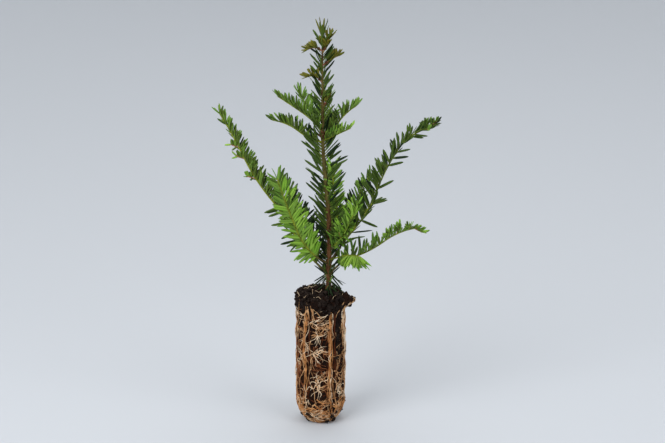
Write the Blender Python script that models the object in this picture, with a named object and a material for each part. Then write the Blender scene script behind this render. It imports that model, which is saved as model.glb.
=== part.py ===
"""Yew sapling standing on its root plug.

A slim leader rises from a round plug of peat and roots. A low ring of long boughs and a
high ring of short ones spread from it, and needles clothe the boughs and the leader.
The origin is the middle of the plug's flat underside. Metres, +Z up, -Y to the front.
Bearings are degrees counted from +X towards +Y, and rises are degrees above level.
"""

import math
from collections import namedtuple

import bpy
import numpy as np
from mathutils import Vector
from mathutils.bvhtree import BVHTree

SEED = 11
GAP = 0.0003  # air between neighbouring pieces

# Root plug, as it slides out of a ribbed round growing cell
PLUG_RADIUS = 0.0250
PLUG_FOOT_RADIUS = 0.0124  # flat underside
PLUG_FOOT_HEIGHT = 0.019  # height over which the foot rounds in
PLUG_SHOULDER = 0.1365  # height of the rim of the soil at the front
PLUG_BACK_RISE = 0.0042  # the rim stands higher at the back
PLUG_BACK_BEARING = 115.0
PLUG_TOP = 0.1425  # flat seat under the trunk
PLUG_SEAT_RADIUS = 0.0055
PLUG_SIDES = 48
PLUG_ROWS = 7  # rows from the foot to the crumbling collar
PLUG_COLLAR = 0.1235  # the root mat ends here and bare soil begins
PLUG_COLLAR_ROWS = 4
RIB_COUNT = 6
RIB_DEPTH = 0.0017  # grooves that the cell's ribs press in
RIB_HALF_WIDTH = 4.0  # degrees
RIB_FADE = (0.118, 0.130)  # heights between which a groove runs out
LUMP_HEIGHT = 0.0007
LUMP_WAVES = ((5, 0.030), (9, 0.019), (14, 0.013), (7, 0.052))  # waves round, wave height
CRUMB_HEIGHT = 0.0042  # lumps on the soil's top
LIP_REACH = 0.0105  # crumbling lip of soil at the rim
LIP_HEIGHT = 0.1330
LIP_HALF_HEIGHT = 0.0055
LIP_BEARING = -4.0
LIP_HALF_WIDTH = 17.0
SLOT_DEPTH = 0.0016  # bare place with no root mat
SLOT_HEIGHT = 0.108
SLOT_HALF_HEIGHT = 0.022
SLOT_BEARING = -42.0
SLOT_HALF_WIDTH = 9.0
CORD_RADIUS = 0.0010  # thick roots that run down the grooves
CORD_SPAN = (0.0225, 0.1235)
CORD_UNEVEN = 0.15
CORD_NUDGE = 0.0001

# Leader: stations of its axis, from the ground to its tip, as (x, z)
LEADER_WAY = ((0.0084, PLUG_TOP), (0.0094, 0.200), (0.0028, 0.308), (0.0026, 0.408))
LEADER_FOOT_RADIUS = 0.0025
LEADER_TIP_RADIUS = 0.0006
LEADER_TAPER = 1.6  # above 1, the taper quickens upwards
LEADER_FLARE = 0.0012  # extra radius at the root collar
LEADER_FLARE_HEIGHT = 0.0045
LEADER_SIDES = 10
LEADER_RINGS = 26
NODE_HEIGHTS = (0.168, 0.203, 0.306)  # swollen rings where boughs leave
NODE_SWELL = 0.0006
NODE_HALF_HEIGHT = 0.004

# Green rind that carries the leader's needles, as half sleeves round the trunk
RIND_THICKNESS = 0.0006
RIND_HALF_ANGLE = 60.0
RIND_RING_STEP = 0.014

# Needles
NEEDLE_WIDTH = 0.0027
NEEDLE_FULL_LENGTH = 0.017  # shorter needles are narrower, longer ones wider
NEEDLE_WIDTH_LIMITS = (0.82, 1.05)
NEEDLE_THICKNESS = 0.0007
NEEDLE_WIDEST = 0.36  # share of the length where the needle is widest
NEEDLE_SHARE = 0.5  # one needle of the model stands for two
CLEARANCE = 0.00015  # air kept on each side of a needle

Shoot = namedtuple(
    "Shoot", "name foot length rises bearings face spread lean bare needles twigs tone"
)

# Each shoot: height of its foot on the trunk, length, rises and bearings along its way;
# bearing and rise of its upper face, angle from that face to each rank of needles, angle
# from twig to needle at the foot, bare share of the length; needles: length at the foot,
# at the tip, and step along the twig; new twigs: share of the length and angle from the
# upper face, turned about the stem; tone of green
LOW_RING = (
    ("left", 0.1618, 0.202, (35, 61, 50, 64, 57), (172, 166), (-12, 20), 30, 72, 0.09,
     (0.0205, 0.0105, 0.0012), ((0.62, 180), (0.735, 180), (0.80, 180)), "deep"),
    ("left_front", 0.1724, 0.119, (24, 66, 71), (222, 208), (-80, 22), 74, 52, 0.19,
     (0.0225, 0.0165, 0.0009), (), "bright"),
    ("right", 0.1724, 0.184, (58, 49, 70, 55, 8), (8, 14), (-142, 34), 50, 54, 0.13,
     (0.0235, 0.0120, 0.0018), ((0.60, -80), (0.92, 70), (0.94, -70), (0.98, 10)), "deep"),
    ("right_low", 0.1583, 0.114, (58, 23, 39, 12), (-24, -16), (-150, 60), 36, 60, 0.17,
     (0.0215, 0.0080, 0.0020), ((0.70, 20), (0.80, -30), (0.90, 40), (0.97, 180)), "bright"),
    ("right_dense", 0.1862, 0.069, (36, 55, 70), (-50, -38), (-120, 28), 52, 56, 0.12,
     (0.0185, 0.0150, 0.0010), ((0.35, -60), (0.60, 80)), "bright"),
    ("right_inner", 0.2015, 0.077, (40, 110, 88), (40, 60), (-75, 12), 70, 56, 0.12,
     (0.0165, 0.0120, 0.0019), (), "bright"),
    ("low_tuft", 0.1760, 0.049, (24, 20, -4), (-44, -50), (-80, -58), 40, 74, 0.52,
     (0.0185, 0.0160, 0.0006), (), "bright"),
    ("back_left", 0.1879, 0.092, (24, 42, 52), (136, 126), (-60, 30), 60, 60, 0.12,
     (0.0190, 0.0130, 0.0014), ((0.55, 90), (0.75, -90)), "deep"),
    ("back", 0.1790, 0.112, (32, 46, 56), (94, 86), (-90, 30), 60, 60, 0.12,
     (0.0190, 0.0130, 0.0014), ((0.55, 90), (0.75, -90)), "deep"),
    ("back_right", 0.1919, 0.098, (38, 42, 42), (50, 56), (-120, 34), 56, 60, 0.12,
     (0.0190, 0.0120, 0.0014), ((0.60, 90), (0.80, -90)), "deep"),
)
HIGH_RING = (
    ("upper_left_low", 0.2998, 0.057, (12, 39, 10), (200, 192), (-25, 50), 34, 60, 0.08,
     (0.0165, 0.0110, 0.0011), (), "deep"),
    ("upper_left", 0.3083, 0.060, (55, 32, 31), (160, 168), (-25, 40), 36, 60, 0.08,
     (0.0160, 0.0105, 0.0011), (), "bright"),
    ("upper_back_left", 0.3209, 0.057, (20, 22, 40), (118, 122), (-60, 30), 50, 60, 0.08,
     (0.0150, 0.0130, 0.0011), (), "bright"),
    ("upper_right", 0.3053, 0.046, (28, 53, 29), (18, 12), (-160, 42), 34, 60, 0.08,
     (0.0160, 0.0115, 0.0011), (), "deep"),
    ("upper_right_low", 0.3014, 0.035, (21, 26, 25), (-35, -25), (-150, 60), 36, 60, 0.08,
     (0.0135, 0.0095, 0.0011), (), "bright"),
    ("upper_back", 0.3041, 0.055, (30, 20, 17), (75, 80), (-90, 40), 50, 60, 0.08,
     (0.0145, 0.0110, 0.0014), (), "deep"),
)
NEW_TIPS = (
    ("tip_right_low", 0.3352, 0.0150, (54, 62, 50), (-12, -12), (-140, 50), 50, 60, 0.40,
     (0.0098, 0.0085, 0.00055), (), "bronze"),
    ("tip_left_low", 0.3594, 0.0175, (57, 30, -30), (190, 184), (-60, 60), 50, 60, 0.40,
     (0.0098, 0.0085, 0.00055), (), "bronze"),
    ("tip_right", 0.3762, 0.0185, (40, 33, 20), (8, 6), (-130, 60), 56, 60, 0.40,
     (0.0112, 0.0090, 0.00045), (), "bronze"),
    ("tip_left", 0.3905, 0.0150, (40, 12, -34), (184, 180), (-60, 70), 50, 60, 0.40,
     (0.0098, 0.0085, 0.00055), (), "bronze"),
    ("tip_right_high", 0.3885, 0.0190, (55, 77, 40), (-6, -6), (-120, 40), 50, 60, 0.30,
     (0.0120, 0.0100, 0.0007), (), "bronze"),
)
SHOOTS = [Shoot(*row) for row in LOW_RING + HIGH_RING + NEW_TIPS]
SHOOT_FOOT_RADIUS = 0.0006  # of a shoot of no length
SHOOT_RADIUS_GAIN = 0.0028  # more radius for each metre of length
SHOOT_TIP_RADIUS = 0.00058
BARE_BOUGHS = [row[0] for row in LOW_RING if row[0] != "low_tuft"]  # bare at the foot
BOUGH_RINGS = 5
BOUGH_SIDES = 6
STEM_RING_STEP = 0.013
STEM_SWELL = 1.2  # a three-sided stem is drawn wider than a round one
TIP_LEAN = 28.0  # angle from twig to needle at the tip
ANGLE_SCATTER = 11.0
FACE_SCATTER = 0.30
LONG_SHOOT = 0.115  # on longer shoots some needles stray to the lower side
STRAY_SHARE = 0.10
STRAY_TURN = (70.0, 120.0)
SIDE_TWIG_LENGTH = 0.0085
SIDE_TWIG_ANGLE = 50.0
SIDE_TWIG_BEND = 0.15  # share of its length that it bends towards the stem's direction
SIDE_TWIG_RADIUS = (0.0006, 0.0005)
SIDE_TWIG_NEEDLES = (0.0080, 0.0068, 0.0008)
SIDE_TWIG_BARE = 0.2

Rind = namedtuple("Rind", "name span needles needle_length rise flat roll width")

# Stretches of the leader: needles on each, their length, how steeply they rise, how far
# they scatter to front and back, how far their upper sides roll to the front, and their
# width as a share of a full one
RINDS = (
    Rind("foot", (0.149, 0.160), 10, 0.0190, -38.0, 60.0, 30.0, 0.62),
    Rind("middle", (0.208, 0.297), 44, 0.0265, 46.0, 34.0, 75.0, 0.98),
    Rind("upper", (0.3255, 0.4020), 36, 0.0180, 48.0, 38.0, 60.0, 0.90),
)
RIND_NEEDLE_MARGIN = 9.0  # degrees kept from a half sleeve's edge to a needle's foot
RISE_SCATTER = 5.0
ROLL_SCATTER = 30.0
GOLDEN_ANGLE = 137.5
BUD_LENGTH = 0.0045
BUD_NEEDLES = 8
BUD_NEEDLE_LENGTH = 0.0145

COLOURS = {
    "soil": ((0.030, 0.022, 0.020), 0.95),
    "root": ((0.42, 0.24, 0.12), 0.80),
    "bark": ((0.11, 0.050, 0.030), 0.75),
    "twig": ((0.20, 0.26, 0.06), 0.60),
    "deep": ((0.045, 0.13, 0.025), 0.45),
    "bright": ((0.13, 0.30, 0.035), 0.45),
    "bronze": ((0.24, 0.26, 0.050), 0.45),
}


def clear_scene():
    for thing in list(bpy.data.objects):
        bpy.data.objects.remove(thing)


def finish(tone):
    """The plain material of one tone, made on first use."""
    found = bpy.data.materials.get(tone)
    if found:
        return found
    colour, roughness = COLOURS[tone]
    made = bpy.data.materials.new(tone)
    made.use_nodes = True
    shader = made.node_tree.nodes["Principled BSDF"]
    shader.inputs["Base Color"].default_value = (*colour, 1.0)
    shader.inputs["Roughness"].default_value = roughness
    shader.inputs["Metallic"].default_value = 0.0
    return made


def mesh_of(name, shape):
    points, faces = shape
    mesh = bpy.data.meshes.new(name)
    mesh.from_pydata([tuple(point) for point in points], [], faces)
    mesh.validate()
    return mesh


def add_object(name, shape, tone, smooth=True):
    """Puts a (points, faces) shape into the scene as a named object of one tone."""
    mesh = mesh_of(name, shape)
    if smooth:
        mesh.shade_smooth()
        mesh.set_sharp_from_angle(angle=math.radians(40))
    mesh.materials.append(finish(tone))
    made = bpy.data.objects.new(name, mesh)
    bpy.context.scene.collection.objects.link(made)
    return made


def unit(vector):
    return vector / np.linalg.norm(vector)


def heading(bearing, rise):
    """Unit direction of a bearing and a rise, in degrees."""
    turn, lift = np.radians(bearing), np.radians(rise)
    flat = np.cos(lift)
    return np.stack([flat * np.cos(turn), flat * np.sin(turn), np.sin(lift) + 0 * turn], -1)


def tube(rings):
    """Closed skin over rings of points, an array of (ring, side, xyz), with flat ends."""
    rows, sides = rings.shape[:2]
    faces = []
    for row in range(rows - 1):
        for side in range(sides):
            here, there = row * sides + side, row * sides + (side + 1) % sides
            faces.append((here, there, there + sides, here + sides))
    faces.append(tuple(reversed(range(sides))))
    faces.append(tuple(range((rows - 1) * sides, rows * sides)))
    return rings.reshape(-1, 3), faces


def limb(way, radii, sides):
    """Tapering tube of regular rings square to a way, an array of (point, xyz)."""
    along = np.gradient(way, axis=0)
    along /= np.linalg.norm(along, axis=1, keepdims=True)
    chord = way[-1] - way[0]
    side = np.array([-chord[1], chord[0], 0.0])
    if np.linalg.norm(side) < 0.05 * np.linalg.norm(chord):
        side = np.array([1.0, 0.0, 0.0])
    across = side - along * (along @ side)[:, None]
    across /= np.linalg.norm(across, axis=1, keepdims=True)
    upward = np.cross(along, across)
    turn = 2 * np.pi * np.arange(sides) / sides
    ring = np.cos(turn)[:, None] * across[:, None] + np.sin(turn)[:, None] * upward[:, None]
    return tube(way[:, None] + ring * np.asarray(radii)[:, None, None])


# --- Root plug -------------------------------------------------------------------------


def bump(value, centre, width):
    return np.exp(-(((value - centre) / width) ** 2))


def angle_between(first, second):
    """Signed difference of two bearings, wrapped to 180 degrees either way."""
    return (first - second + 180.0) % 360.0 - 180.0


def plug_lumps(bearing, height):
    """Seeded waves round and up the plug, from -1 to 1."""
    rng = np.random.default_rng(SEED)
    total = 0.0
    for waves_round, wave_height in LUMP_WAVES:
        phase_round, phase_up = rng.uniform(0, 2 * np.pi, 2)
        round_wave = np.sin(np.radians(bearing) * waves_round + phase_round)
        total = total + round_wave * np.sin(2 * np.pi * height / wave_height + phase_up)
    return total / math.sqrt(len(LUMP_WAVES))


def plug_radius(bearing, height):
    """Radius of the plug's side: foot, grooves, lumps, bare slot and crumbling lip."""
    rise = np.clip(height / PLUG_FOOT_HEIGHT, 0, 1)
    radius = PLUG_FOOT_RADIUS + (PLUG_RADIUS - PLUG_FOOT_RADIUS) * rise**0.55
    fade = rise**2
    step = 360.0 / RIB_COUNT
    nearest_rib = step * np.round(bearing / step)
    groove = bump(angle_between(bearing, nearest_rib), 0.0, RIB_HALF_WIDTH)
    groove = groove * np.interp(height, RIB_FADE, (1.0, 0.0))
    slot = bump(angle_between(bearing, SLOT_BEARING), 0.0, SLOT_HALF_WIDTH)
    slot = slot * bump(height, SLOT_HEIGHT, SLOT_HALF_HEIGHT)
    lip = bump(angle_between(bearing, LIP_BEARING), 0.0, LIP_HALF_WIDTH)
    lip = lip * bump(height, LIP_HEIGHT, LIP_HALF_HEIGHT)
    relief = LUMP_HEIGHT * plug_lumps(bearing, height) - RIB_DEPTH * groove - SLOT_DEPTH * slot
    return radius + fade * relief + LIP_REACH * lip


def plug_rings():
    """Rings from the flat underside up the side and over the mound to the trunk's seat."""
    bearing = 360.0 * np.arange(PLUG_SIDES) / PLUG_SIDES
    foot = PLUG_FOOT_HEIGHT * np.array([0.0, 0.14, 0.38, 0.66])
    side = np.linspace(PLUG_FOOT_HEIGHT, PLUG_COLLAR, PLUG_ROWS)
    collar = np.linspace(PLUG_COLLAR, PLUG_SHOULDER, PLUG_COLLAR_ROWS)[1:]
    level = heading(bearing, 0.0)
    rings = []
    back = PLUG_BACK_RISE * (0.5 + 0.5 * np.cos(np.radians(bearing - PLUG_BACK_BEARING)))
    for height in (*foot, *side, *collar):
        ring = level * plug_radius(bearing, height)[:, None]
        ring[:, 2] = height + back * (height / PLUG_SHOULDER) ** 8
        rings.append(ring)
    rim = rings[-1]
    seat = np.array([LEADER_WAY[0][0], 0.0, 0.0]) + level * PLUG_SEAT_RADIUS
    crumbs = np.random.default_rng(SEED + 1)
    for share in (0.14, 0.36, 0.64, 1.0):
        ring = rim + (seat - rim) * share
        mound = (PLUG_TOP - PLUG_SHOULDER) * math.sin(share * math.pi / 2)
        ring[:, 2] = PLUG_SHOULDER + mound
        if share < 1:
            lump = 0.5 * crumbs.uniform(-0.3, 1.0, PLUG_SIDES)
            lump += np.roll(lump, 1)
            ring[:, 2] += CRUMB_HEIGHT * lump + back * (1 - share)
        rings.append(ring)
    return np.array(rings)


def build_plug():
    shape = tube(plug_rings())
    add_object("root_ball", shape, "soil")
    return shape


def tree_of(shape):
    points, faces = shape
    return BVHTree.FromPolygons([tuple(point) for point in points], faces)


def room_outside(tree, spot):
    """Distance from a point to a closed skin, negative inside it."""
    nearest, normal, _, distance = tree.find_nearest(Vector(spot))
    return distance if (Vector(spot) - nearest).dot(normal) > 0 else -distance


def build_cords(plug):
    """Thick roots down the grooves, pushed out until they clear the plug."""
    tree = tree_of(plug)
    shapes = {}
    for number in range(RIB_COUNT):
        bearing = 360.0 / RIB_COUNT * number
        rng = np.random.default_rng([SEED, 20 + number])
        low, high = CORD_SPAN
        heights = np.linspace(low, high - rng.uniform(0, 0.012), 8)
        sway = 1.6 * np.sin(heights / 0.019 + rng.uniform(0, 6))
        way = []
        for height, turn in zip(heights, bearing + sway):
            outward = heading(turn, 0.0)
            spot = outward * (PLUG_RADIUS - RIB_DEPTH) + np.array([0.0, 0.0, height])
            while room_outside(tree, spot) < CORD_RADIUS * (1 + CORD_UNEVEN) + GAP:
                spot = spot + outward * CORD_NUDGE
            way.append(spot)
        radii = CORD_RADIUS * (1.0 + CORD_UNEVEN * np.sin(heights / 0.007 + number))
        shape = limb(np.array(way), radii, 5)
        name = f"root_cord_{number + 1}"
        add_object(name, shape, "root")
        shapes[name] = shape
    return shapes


# --- Leader ----------------------------------------------------------------------------


def leader_x(height):
    """Sideways place of the leader's axis: an even S from each station to the next."""
    heights = [station[1] for station in LEADER_WAY]
    spots = [station[0] for station in LEADER_WAY]
    index = np.clip(np.searchsorted(heights, height) - 1, 0, len(heights) - 2)
    low, high = np.take(heights, index), np.take(heights, index + 1)
    share = np.clip((height - low) / (high - low), 0, 1)
    ease = share * share * (3 - 2 * share)
    return np.take(spots, index) + (np.take(spots, index + 1) - np.take(spots, index)) * ease


def leader_point(height):
    height = np.asarray(height, float)
    return np.stack([leader_x(height), 0 * height, height], -1)


def leader_radius(height):
    """Taper that quickens upwards, with a flare at the root collar and swellings where boughs leave."""
    foot, tip = LEADER_WAY[0][1], LEADER_WAY[-1][1]
    share = np.clip((height - foot) / (tip - foot), 0, 1)
    taper = 1 - share**LEADER_TAPER
    radius = LEADER_TIP_RADIUS + (LEADER_FOOT_RADIUS - LEADER_TIP_RADIUS) * taper
    radius = radius + LEADER_FLARE * np.exp(-(height - foot) / LEADER_FLARE_HEIGHT)
    for node in NODE_HEIGHTS:
        radius = radius + NODE_SWELL * bump(height, node, NODE_HALF_HEIGHT)
    return radius


def build_leader():
    foot, tip = LEADER_WAY[0][1] + GAP, LEADER_WAY[-1][1]
    collar = foot + LEADER_FLARE_HEIGHT * np.array([0.0, 0.5, 1.1])
    heights = np.concatenate([collar, np.linspace(collar[-1], tip, LEADER_RINGS)[1:]])
    turn = 2 * np.pi * np.arange(LEADER_SIDES) / LEADER_SIDES
    level = np.stack([np.cos(turn), np.sin(turn), 0 * turn], -1)
    rings = leader_point(heights)[:, None] + level[None] * leader_radius(heights)[:, None, None]
    shape = tube(rings)
    add_object("trunk", shape, "bark")
    return shape


# --- Needles ---------------------------------------------------------------------------


def needle_width(length):
    share = np.clip(length / NEEDLE_FULL_LENGTH, *NEEDLE_WIDTH_LIMITS)
    return NEEDLE_WIDTH * share


def needle(foot, along, face, length, width, thickness=NEEDLE_THICKNESS):
    """Slim pointed blade, flat above and keeled below, with its flat side turned to face."""
    across = unit(np.cross(along, face)) * width / 2
    keel = unit(np.cross(along, across)) * thickness
    middle = foot + along * length * NEEDLE_WIDEST - keel / 3
    tip = foot + along * length
    points = np.array([foot, middle + across, middle + keel, middle - across, tip])
    faces = []
    for side in range(3):
        here, there = 1 + side, 1 + (side + 1) % 3
        faces.append((0, there, here))
        faces.append((4, here, there))
    return points, faces


def is_clear(shape, obstacles, owner):
    """True where a shape meets no obstacle that belongs to another piece."""
    tree = tree_of(shape)
    for name, other in obstacles:
        if name != owner and tree.overlap(other):
            return False
    return True


def grow_needle(foot, along, face, length, width, obstacles, owner):
    """A needle, or None where it would touch a neighbour."""
    roomy = needle(
        foot - along * CLEARANCE,
        along,
        face,
        length + 2 * CLEARANCE,
        width + 4 * CLEARANCE,
        NEEDLE_THICKNESS + 2.5 * CLEARANCE,
    )
    if not is_clear(roomy, obstacles, owner):
        return None
    return needle(foot, along, face, length, width)


# --- Shoots ----------------------------------------------------------------------------


def shoot_way(shoot, steps=48):
    """Points along a shoot, whose direction turns evenly through its rises and bearings."""
    share = (np.arange(steps) + 0.5) / steps
    rise = np.interp(share, np.linspace(0, 1, len(shoot.rises)), shoot.rises)
    bearing = np.interp(share, np.linspace(0, 1, len(shoot.bearings)), shoot.bearings)
    stride = heading(bearing, rise) * shoot.length / steps
    way = np.vstack([np.zeros(3), np.cumsum(stride, axis=0)])
    return way + leader_point(shoot.foot)


def point_on(way, share):
    """Point and direction at a share of a way's length."""
    spot = share * (len(way) - 1)
    index = min(int(spot), len(way) - 2)
    step = way[index + 1] - way[index]
    return way[index] + step * (spot - index), unit(step)


def stretch_of(way, shares):
    return np.array([point_on(way, share)[0] for share in shares])


def shoot_radius(shoot, share):
    foot = SHOOT_FOOT_RADIUS + SHOOT_RADIUS_GAIN * shoot.length
    return foot + (SHOOT_TIP_RADIUS - foot) * share


def share_clear_of_leader(shoot, way):
    """Share of a shoot's length where its square-cut foot first clears the trunk."""
    for share in np.linspace(0, 0.5, 400):
        spot, along = point_on(way, share)
        level = spot - leader_point(spot[2])
        reach = STEM_SWELL * shoot_radius(shoot, share)
        trunk = max(leader_radius(spot[2] - reach), leader_radius(spot[2] + reach))
        if np.linalg.norm(level[:2]) > trunk + GAP + reach * abs(along[2]):
            break
    return share


def upper_face(shoot, along):
    """The direction that the upper side of the needles turns to, square to the twig."""
    wanted = heading(*shoot.face)
    return unit(wanted - along * np.dot(wanted, along))


def lay_shoot(shoot):
    """The bare bough, the way and stem of the mass, and the share of it without needles."""
    way = shoot_way(shoot)
    start = share_clear_of_leader(shoot, way)
    bough = None
    if shoot.name in BARE_BOUGHS:
        shares = np.linspace(start, shoot.bare, BOUGH_RINGS)
        bough = limb(stretch_of(way, shares), shoot_radius(shoot, shares), BOUGH_SIDES)
        start = shoot.bare + GAP / shoot.length
    shares = np.linspace(start, 1.0, 2 + int(shoot.length / STEM_RING_STEP))
    stem_way = stretch_of(way, shares)
    stem = limb(stem_way, STEM_SWELL * shoot_radius(shoot, shares), 3)
    leafless = max(0.0, (shoot.bare - start) / (1 - start))
    return bough, stem_way, stem, leafless


def lay_side_twigs(shoot, way):
    """Ways of the short new twigs, each turned about the stem from its upper face."""
    twigs = []
    for share, angle in shoot.twigs:
        foot, along = point_on(way, (share - shoot.bare) / (1 - shoot.bare))
        face = upper_face(shoot, along)
        turn, lean = math.radians(angle), math.radians(SIDE_TWIG_ANGLE)
        outward = face * math.cos(turn) + np.cross(along, face) * math.sin(turn)
        lead = along * math.cos(lean) + outward * math.sin(lean)
        steps = np.linspace(0, 1, 4)[:, None]
        bend = SIDE_TWIG_BEND * along * steps**2
        twigs.append(foot + (lead * steps + bend) * SIDE_TWIG_LENGTH)
    return twigs


def needles_along(shoot, way, needles, leafless, rng, obstacles, owner):
    """Needles in two ranks along a twig, swept forward and shortening from foot to tip.

    Each blade lies flat along the twig, its upper side turned to the other rank.
    """
    grown = []
    longest, shortest, step = needles
    run = np.linalg.norm(np.diff(way, axis=0), axis=1).sum() * (1 - leafless)
    count = round(NEEDLE_SHARE * run / step)
    for number in range(count):
        share = (number + 0.5 + rng.uniform(-0.35, 0.35)) / count
        foot, along = point_on(way, min(leafless + (1 - leafless) * share, 0.99))
        face = upper_face(shoot, along)
        side = 1 if number % 2 else -1
        turn = shoot.spread + rng.normal(0, ANGLE_SCATTER)
        if rng.uniform() < STRAY_SHARE and shoot.length > LONG_SHOOT:
            turn += rng.uniform(*STRAY_TURN)
        turn = math.radians(side * turn)
        lean = shoot.lean + (TIP_LEAN - shoot.lean) * share**3
        lean = math.radians(lean + rng.normal(0, ANGLE_SCATTER))
        outward = face * math.cos(turn) + np.cross(along, face) * math.sin(turn)
        lead = unit(along * math.cos(lean) + outward * math.sin(lean))
        upper = unit(side * np.cross(lead, along)) + rng.normal(0, FACE_SCATTER, 3)
        size = longest + (shortest - longest) * share**1.2
        size = size * np.interp(share, (0, 0.12), (0.8, 1)) * rng.uniform(0.84, 1.10)
        width = needle_width(size)
        blade = grow_needle(foot, lead, unit(upper), size, width, obstacles, owner)
        if blade:
            grown.append(blade)
    return grown


# --- Leader's rind and bud -------------------------------------------------------------


def rind_half(rind, middle):
    """Half sleeve along a stretch of the leader, open at its two edges."""
    low, high = rind.span
    rings = max(3, 1 + round((high - low) / RIND_RING_STEP))
    heights = np.linspace(low, high, rings)
    turn = np.radians(middle + np.linspace(-RIND_HALF_ANGLE, RIND_HALF_ANGLE, 4))
    chord = math.cos(math.radians(RIND_HALF_ANGLE / 3))
    inner = (leader_radius(heights) + GAP) / chord
    outer = leader_radius(heights) + GAP + RIND_THICKNESS
    arc = np.stack([np.cos(turn), np.sin(turn), 0 * turn], -1)
    section = [arc[None] * outer[:, None, None], arc[None, ::-1] * inner[:, None, None]]
    rings = leader_point(heights)[:, None] + np.concatenate(section, axis=1)
    return tube(rings)


def rind_needles(rind, obstacles, grown):
    """Needles to left and right by turns, dealt to the half sleeve that they stand on."""
    rng = np.random.default_rng([SEED, 300 + RINDS.index(rind)])
    low, high = rind.span
    for number in range(rind.needles):
        height = low + (high - low) * (number + 0.7) / (rind.needles + 0.4)
        bearing = (180.0 * number + rng.normal(0, rind.flat)) % 360.0
        half, middle = ("front", 270.0) if bearing > 180.0 else ("back", 90.0)
        owner = f"leader_{rind.name}_{half}"
        edge = RIND_HALF_ANGLE - RIND_NEEDLE_MARGIN
        root = middle + np.clip(angle_between(bearing, middle), -edge, edge)
        depth = leader_radius(height) + GAP + 0.35 * RIND_THICKNESS
        foot = leader_point(height) + heading(root, 0.0) * depth
        rise = rind.rise + rng.normal(0, RISE_SCATTER)
        along = heading(bearing, rise)
        face = heading(bearing + 180.0, 90.0 - rise)
        side = -1 if number % 2 else 1
        roll = math.radians(side * rind.roll + rng.normal(0, ROLL_SCATTER))
        face = face * math.cos(roll) + np.cross(along, face) * math.sin(roll)
        size = rind.needle_length * rng.uniform(0.82, 1.08)
        width = rind.width * needle_width(size)
        blade = grow_needle(foot, along, face, size, width, obstacles, owner)
        if blade:
            grown.setdefault(owner, []).append(blade)


def bud_parts():
    """Stem and needles of the tuft at the very tip of the leader."""
    foot = leader_point(LEADER_WAY[-1][1] + GAP)
    way = foot + np.linspace(0, BUD_LENGTH, 3)[:, None] * np.array([[0.0, 0.0, 1.0]])
    stem = limb(way, np.array([1.0, 1.5, 0.6]) * LEADER_TIP_RADIUS, 6)
    blades = []
    for number in range(BUD_NEEDLES):
        bearing = GOLDEN_ANGLE * number
        rise = 52 + 30 * number / BUD_NEEDLES
        root = foot + np.array([0.0, 0.0, BUD_LENGTH * (0.35 + 0.4 * number / BUD_NEEDLES)])
        along = heading(bearing, rise)
        face = heading(bearing + 180.0, 90.0 - rise)
        size = BUD_NEEDLE_LENGTH * (0.75 + 0.25 * number / BUD_NEEDLES)
        blades.append(needle(root, along, face, size, NEEDLE_WIDTH * 0.8))
    return stem, blades


# --- Putting the plant together --------------------------------------------------------


def fuse(name, stem, growth, tone):
    """Joins a stem and all that grows on it into one closed body."""
    collection = bpy.data.collections.new(name + "_growth")
    bpy.context.scene.collection.children.link(collection)
    for number, shape in enumerate(growth):
        piece = bpy.data.objects.new(f"{name}_{number}", mesh_of(name, shape))
        collection.objects.link(piece)
    body = add_object(name, stem, tone, smooth=False)
    union = body.modifiers.new("union", "BOOLEAN")
    union.operation = "UNION"
    union.operand_type = "COLLECTION"
    union.collection = collection
    union.solver = "MANIFOLD"
    graph = bpy.context.evaluated_depsgraph_get()
    body.data = bpy.data.meshes.new_from_object(body.evaluated_get(graph))
    body.modifiers.clear()
    for helper in list(collection.objects):
        bpy.data.objects.remove(helper)
    bpy.data.collections.remove(collection)


def build_plant():
    obstacles = []
    plug = build_plug()
    obstacles.append(("root_ball", tree_of(plug)))
    for name, shape in build_cords(plug).items():
        obstacles.append((name, tree_of(shape)))
    obstacles.append(("trunk", tree_of(build_leader())))
    laid = []
    for shoot in SHOOTS:
        bough, way, stem, leafless = lay_shoot(shoot)
        owner = f"foliage_{shoot.name}"
        if bough:
            add_object(f"bough_{shoot.name}", bough, "twig")
            obstacles.append((f"bough_{shoot.name}", tree_of(bough)))
        obstacles.append((owner, tree_of(stem)))
        laid.append((shoot, owner, way, stem, leafless))
    halves = {}
    for rind in RINDS:
        for half, middle in (("front", 270.0), ("back", 90.0)):
            owner = f"leader_{rind.name}_{half}"
            halves[owner] = rind_half(rind, middle)
            obstacles.append((owner, tree_of(halves[owner])))
    bud_stem, bud_blades = bud_parts()
    obstacles.append(("leader_bud", tree_of(bud_stem)))
    for blade in bud_blades:
        obstacles.append(("leader_bud", tree_of(blade)))
    fuse("leader_bud", bud_stem, bud_blades, "bronze")
    for number, (shoot, owner, way, stem, leafless) in enumerate(laid):
        rng = np.random.default_rng([SEED, 100 + number])
        growth = []
        for twig in lay_side_twigs(shoot, way):
            shape = limb(twig, np.linspace(*SIDE_TWIG_RADIUS, len(twig)), 3)
            if not is_clear(shape, obstacles, owner):
                continue
            growth.append(shape)
            growth += needles_along(
                shoot, twig, SIDE_TWIG_NEEDLES, SIDE_TWIG_BARE, rng, obstacles, owner
            )
        growth += needles_along(shoot, way, shoot.needles, leafless, rng, obstacles, owner)
        for shape in growth:
            obstacles.append((owner, tree_of(shape)))
        fuse(owner, stem, growth, shoot.tone)
    grown = {}
    for rind in RINDS:
        rind_needles(rind, obstacles, grown)
    for owner, half in halves.items():
        fuse(owner, half, grown.get(owner, []), "deep")


clear_scene()
build_plant()
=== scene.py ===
"""Looks of a yew sapling: peat, roots, bark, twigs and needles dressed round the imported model.

Bearings are degrees counted from +X towards +Y, and rises are degrees above level.
"""

import math
from collections import namedtuple

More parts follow.
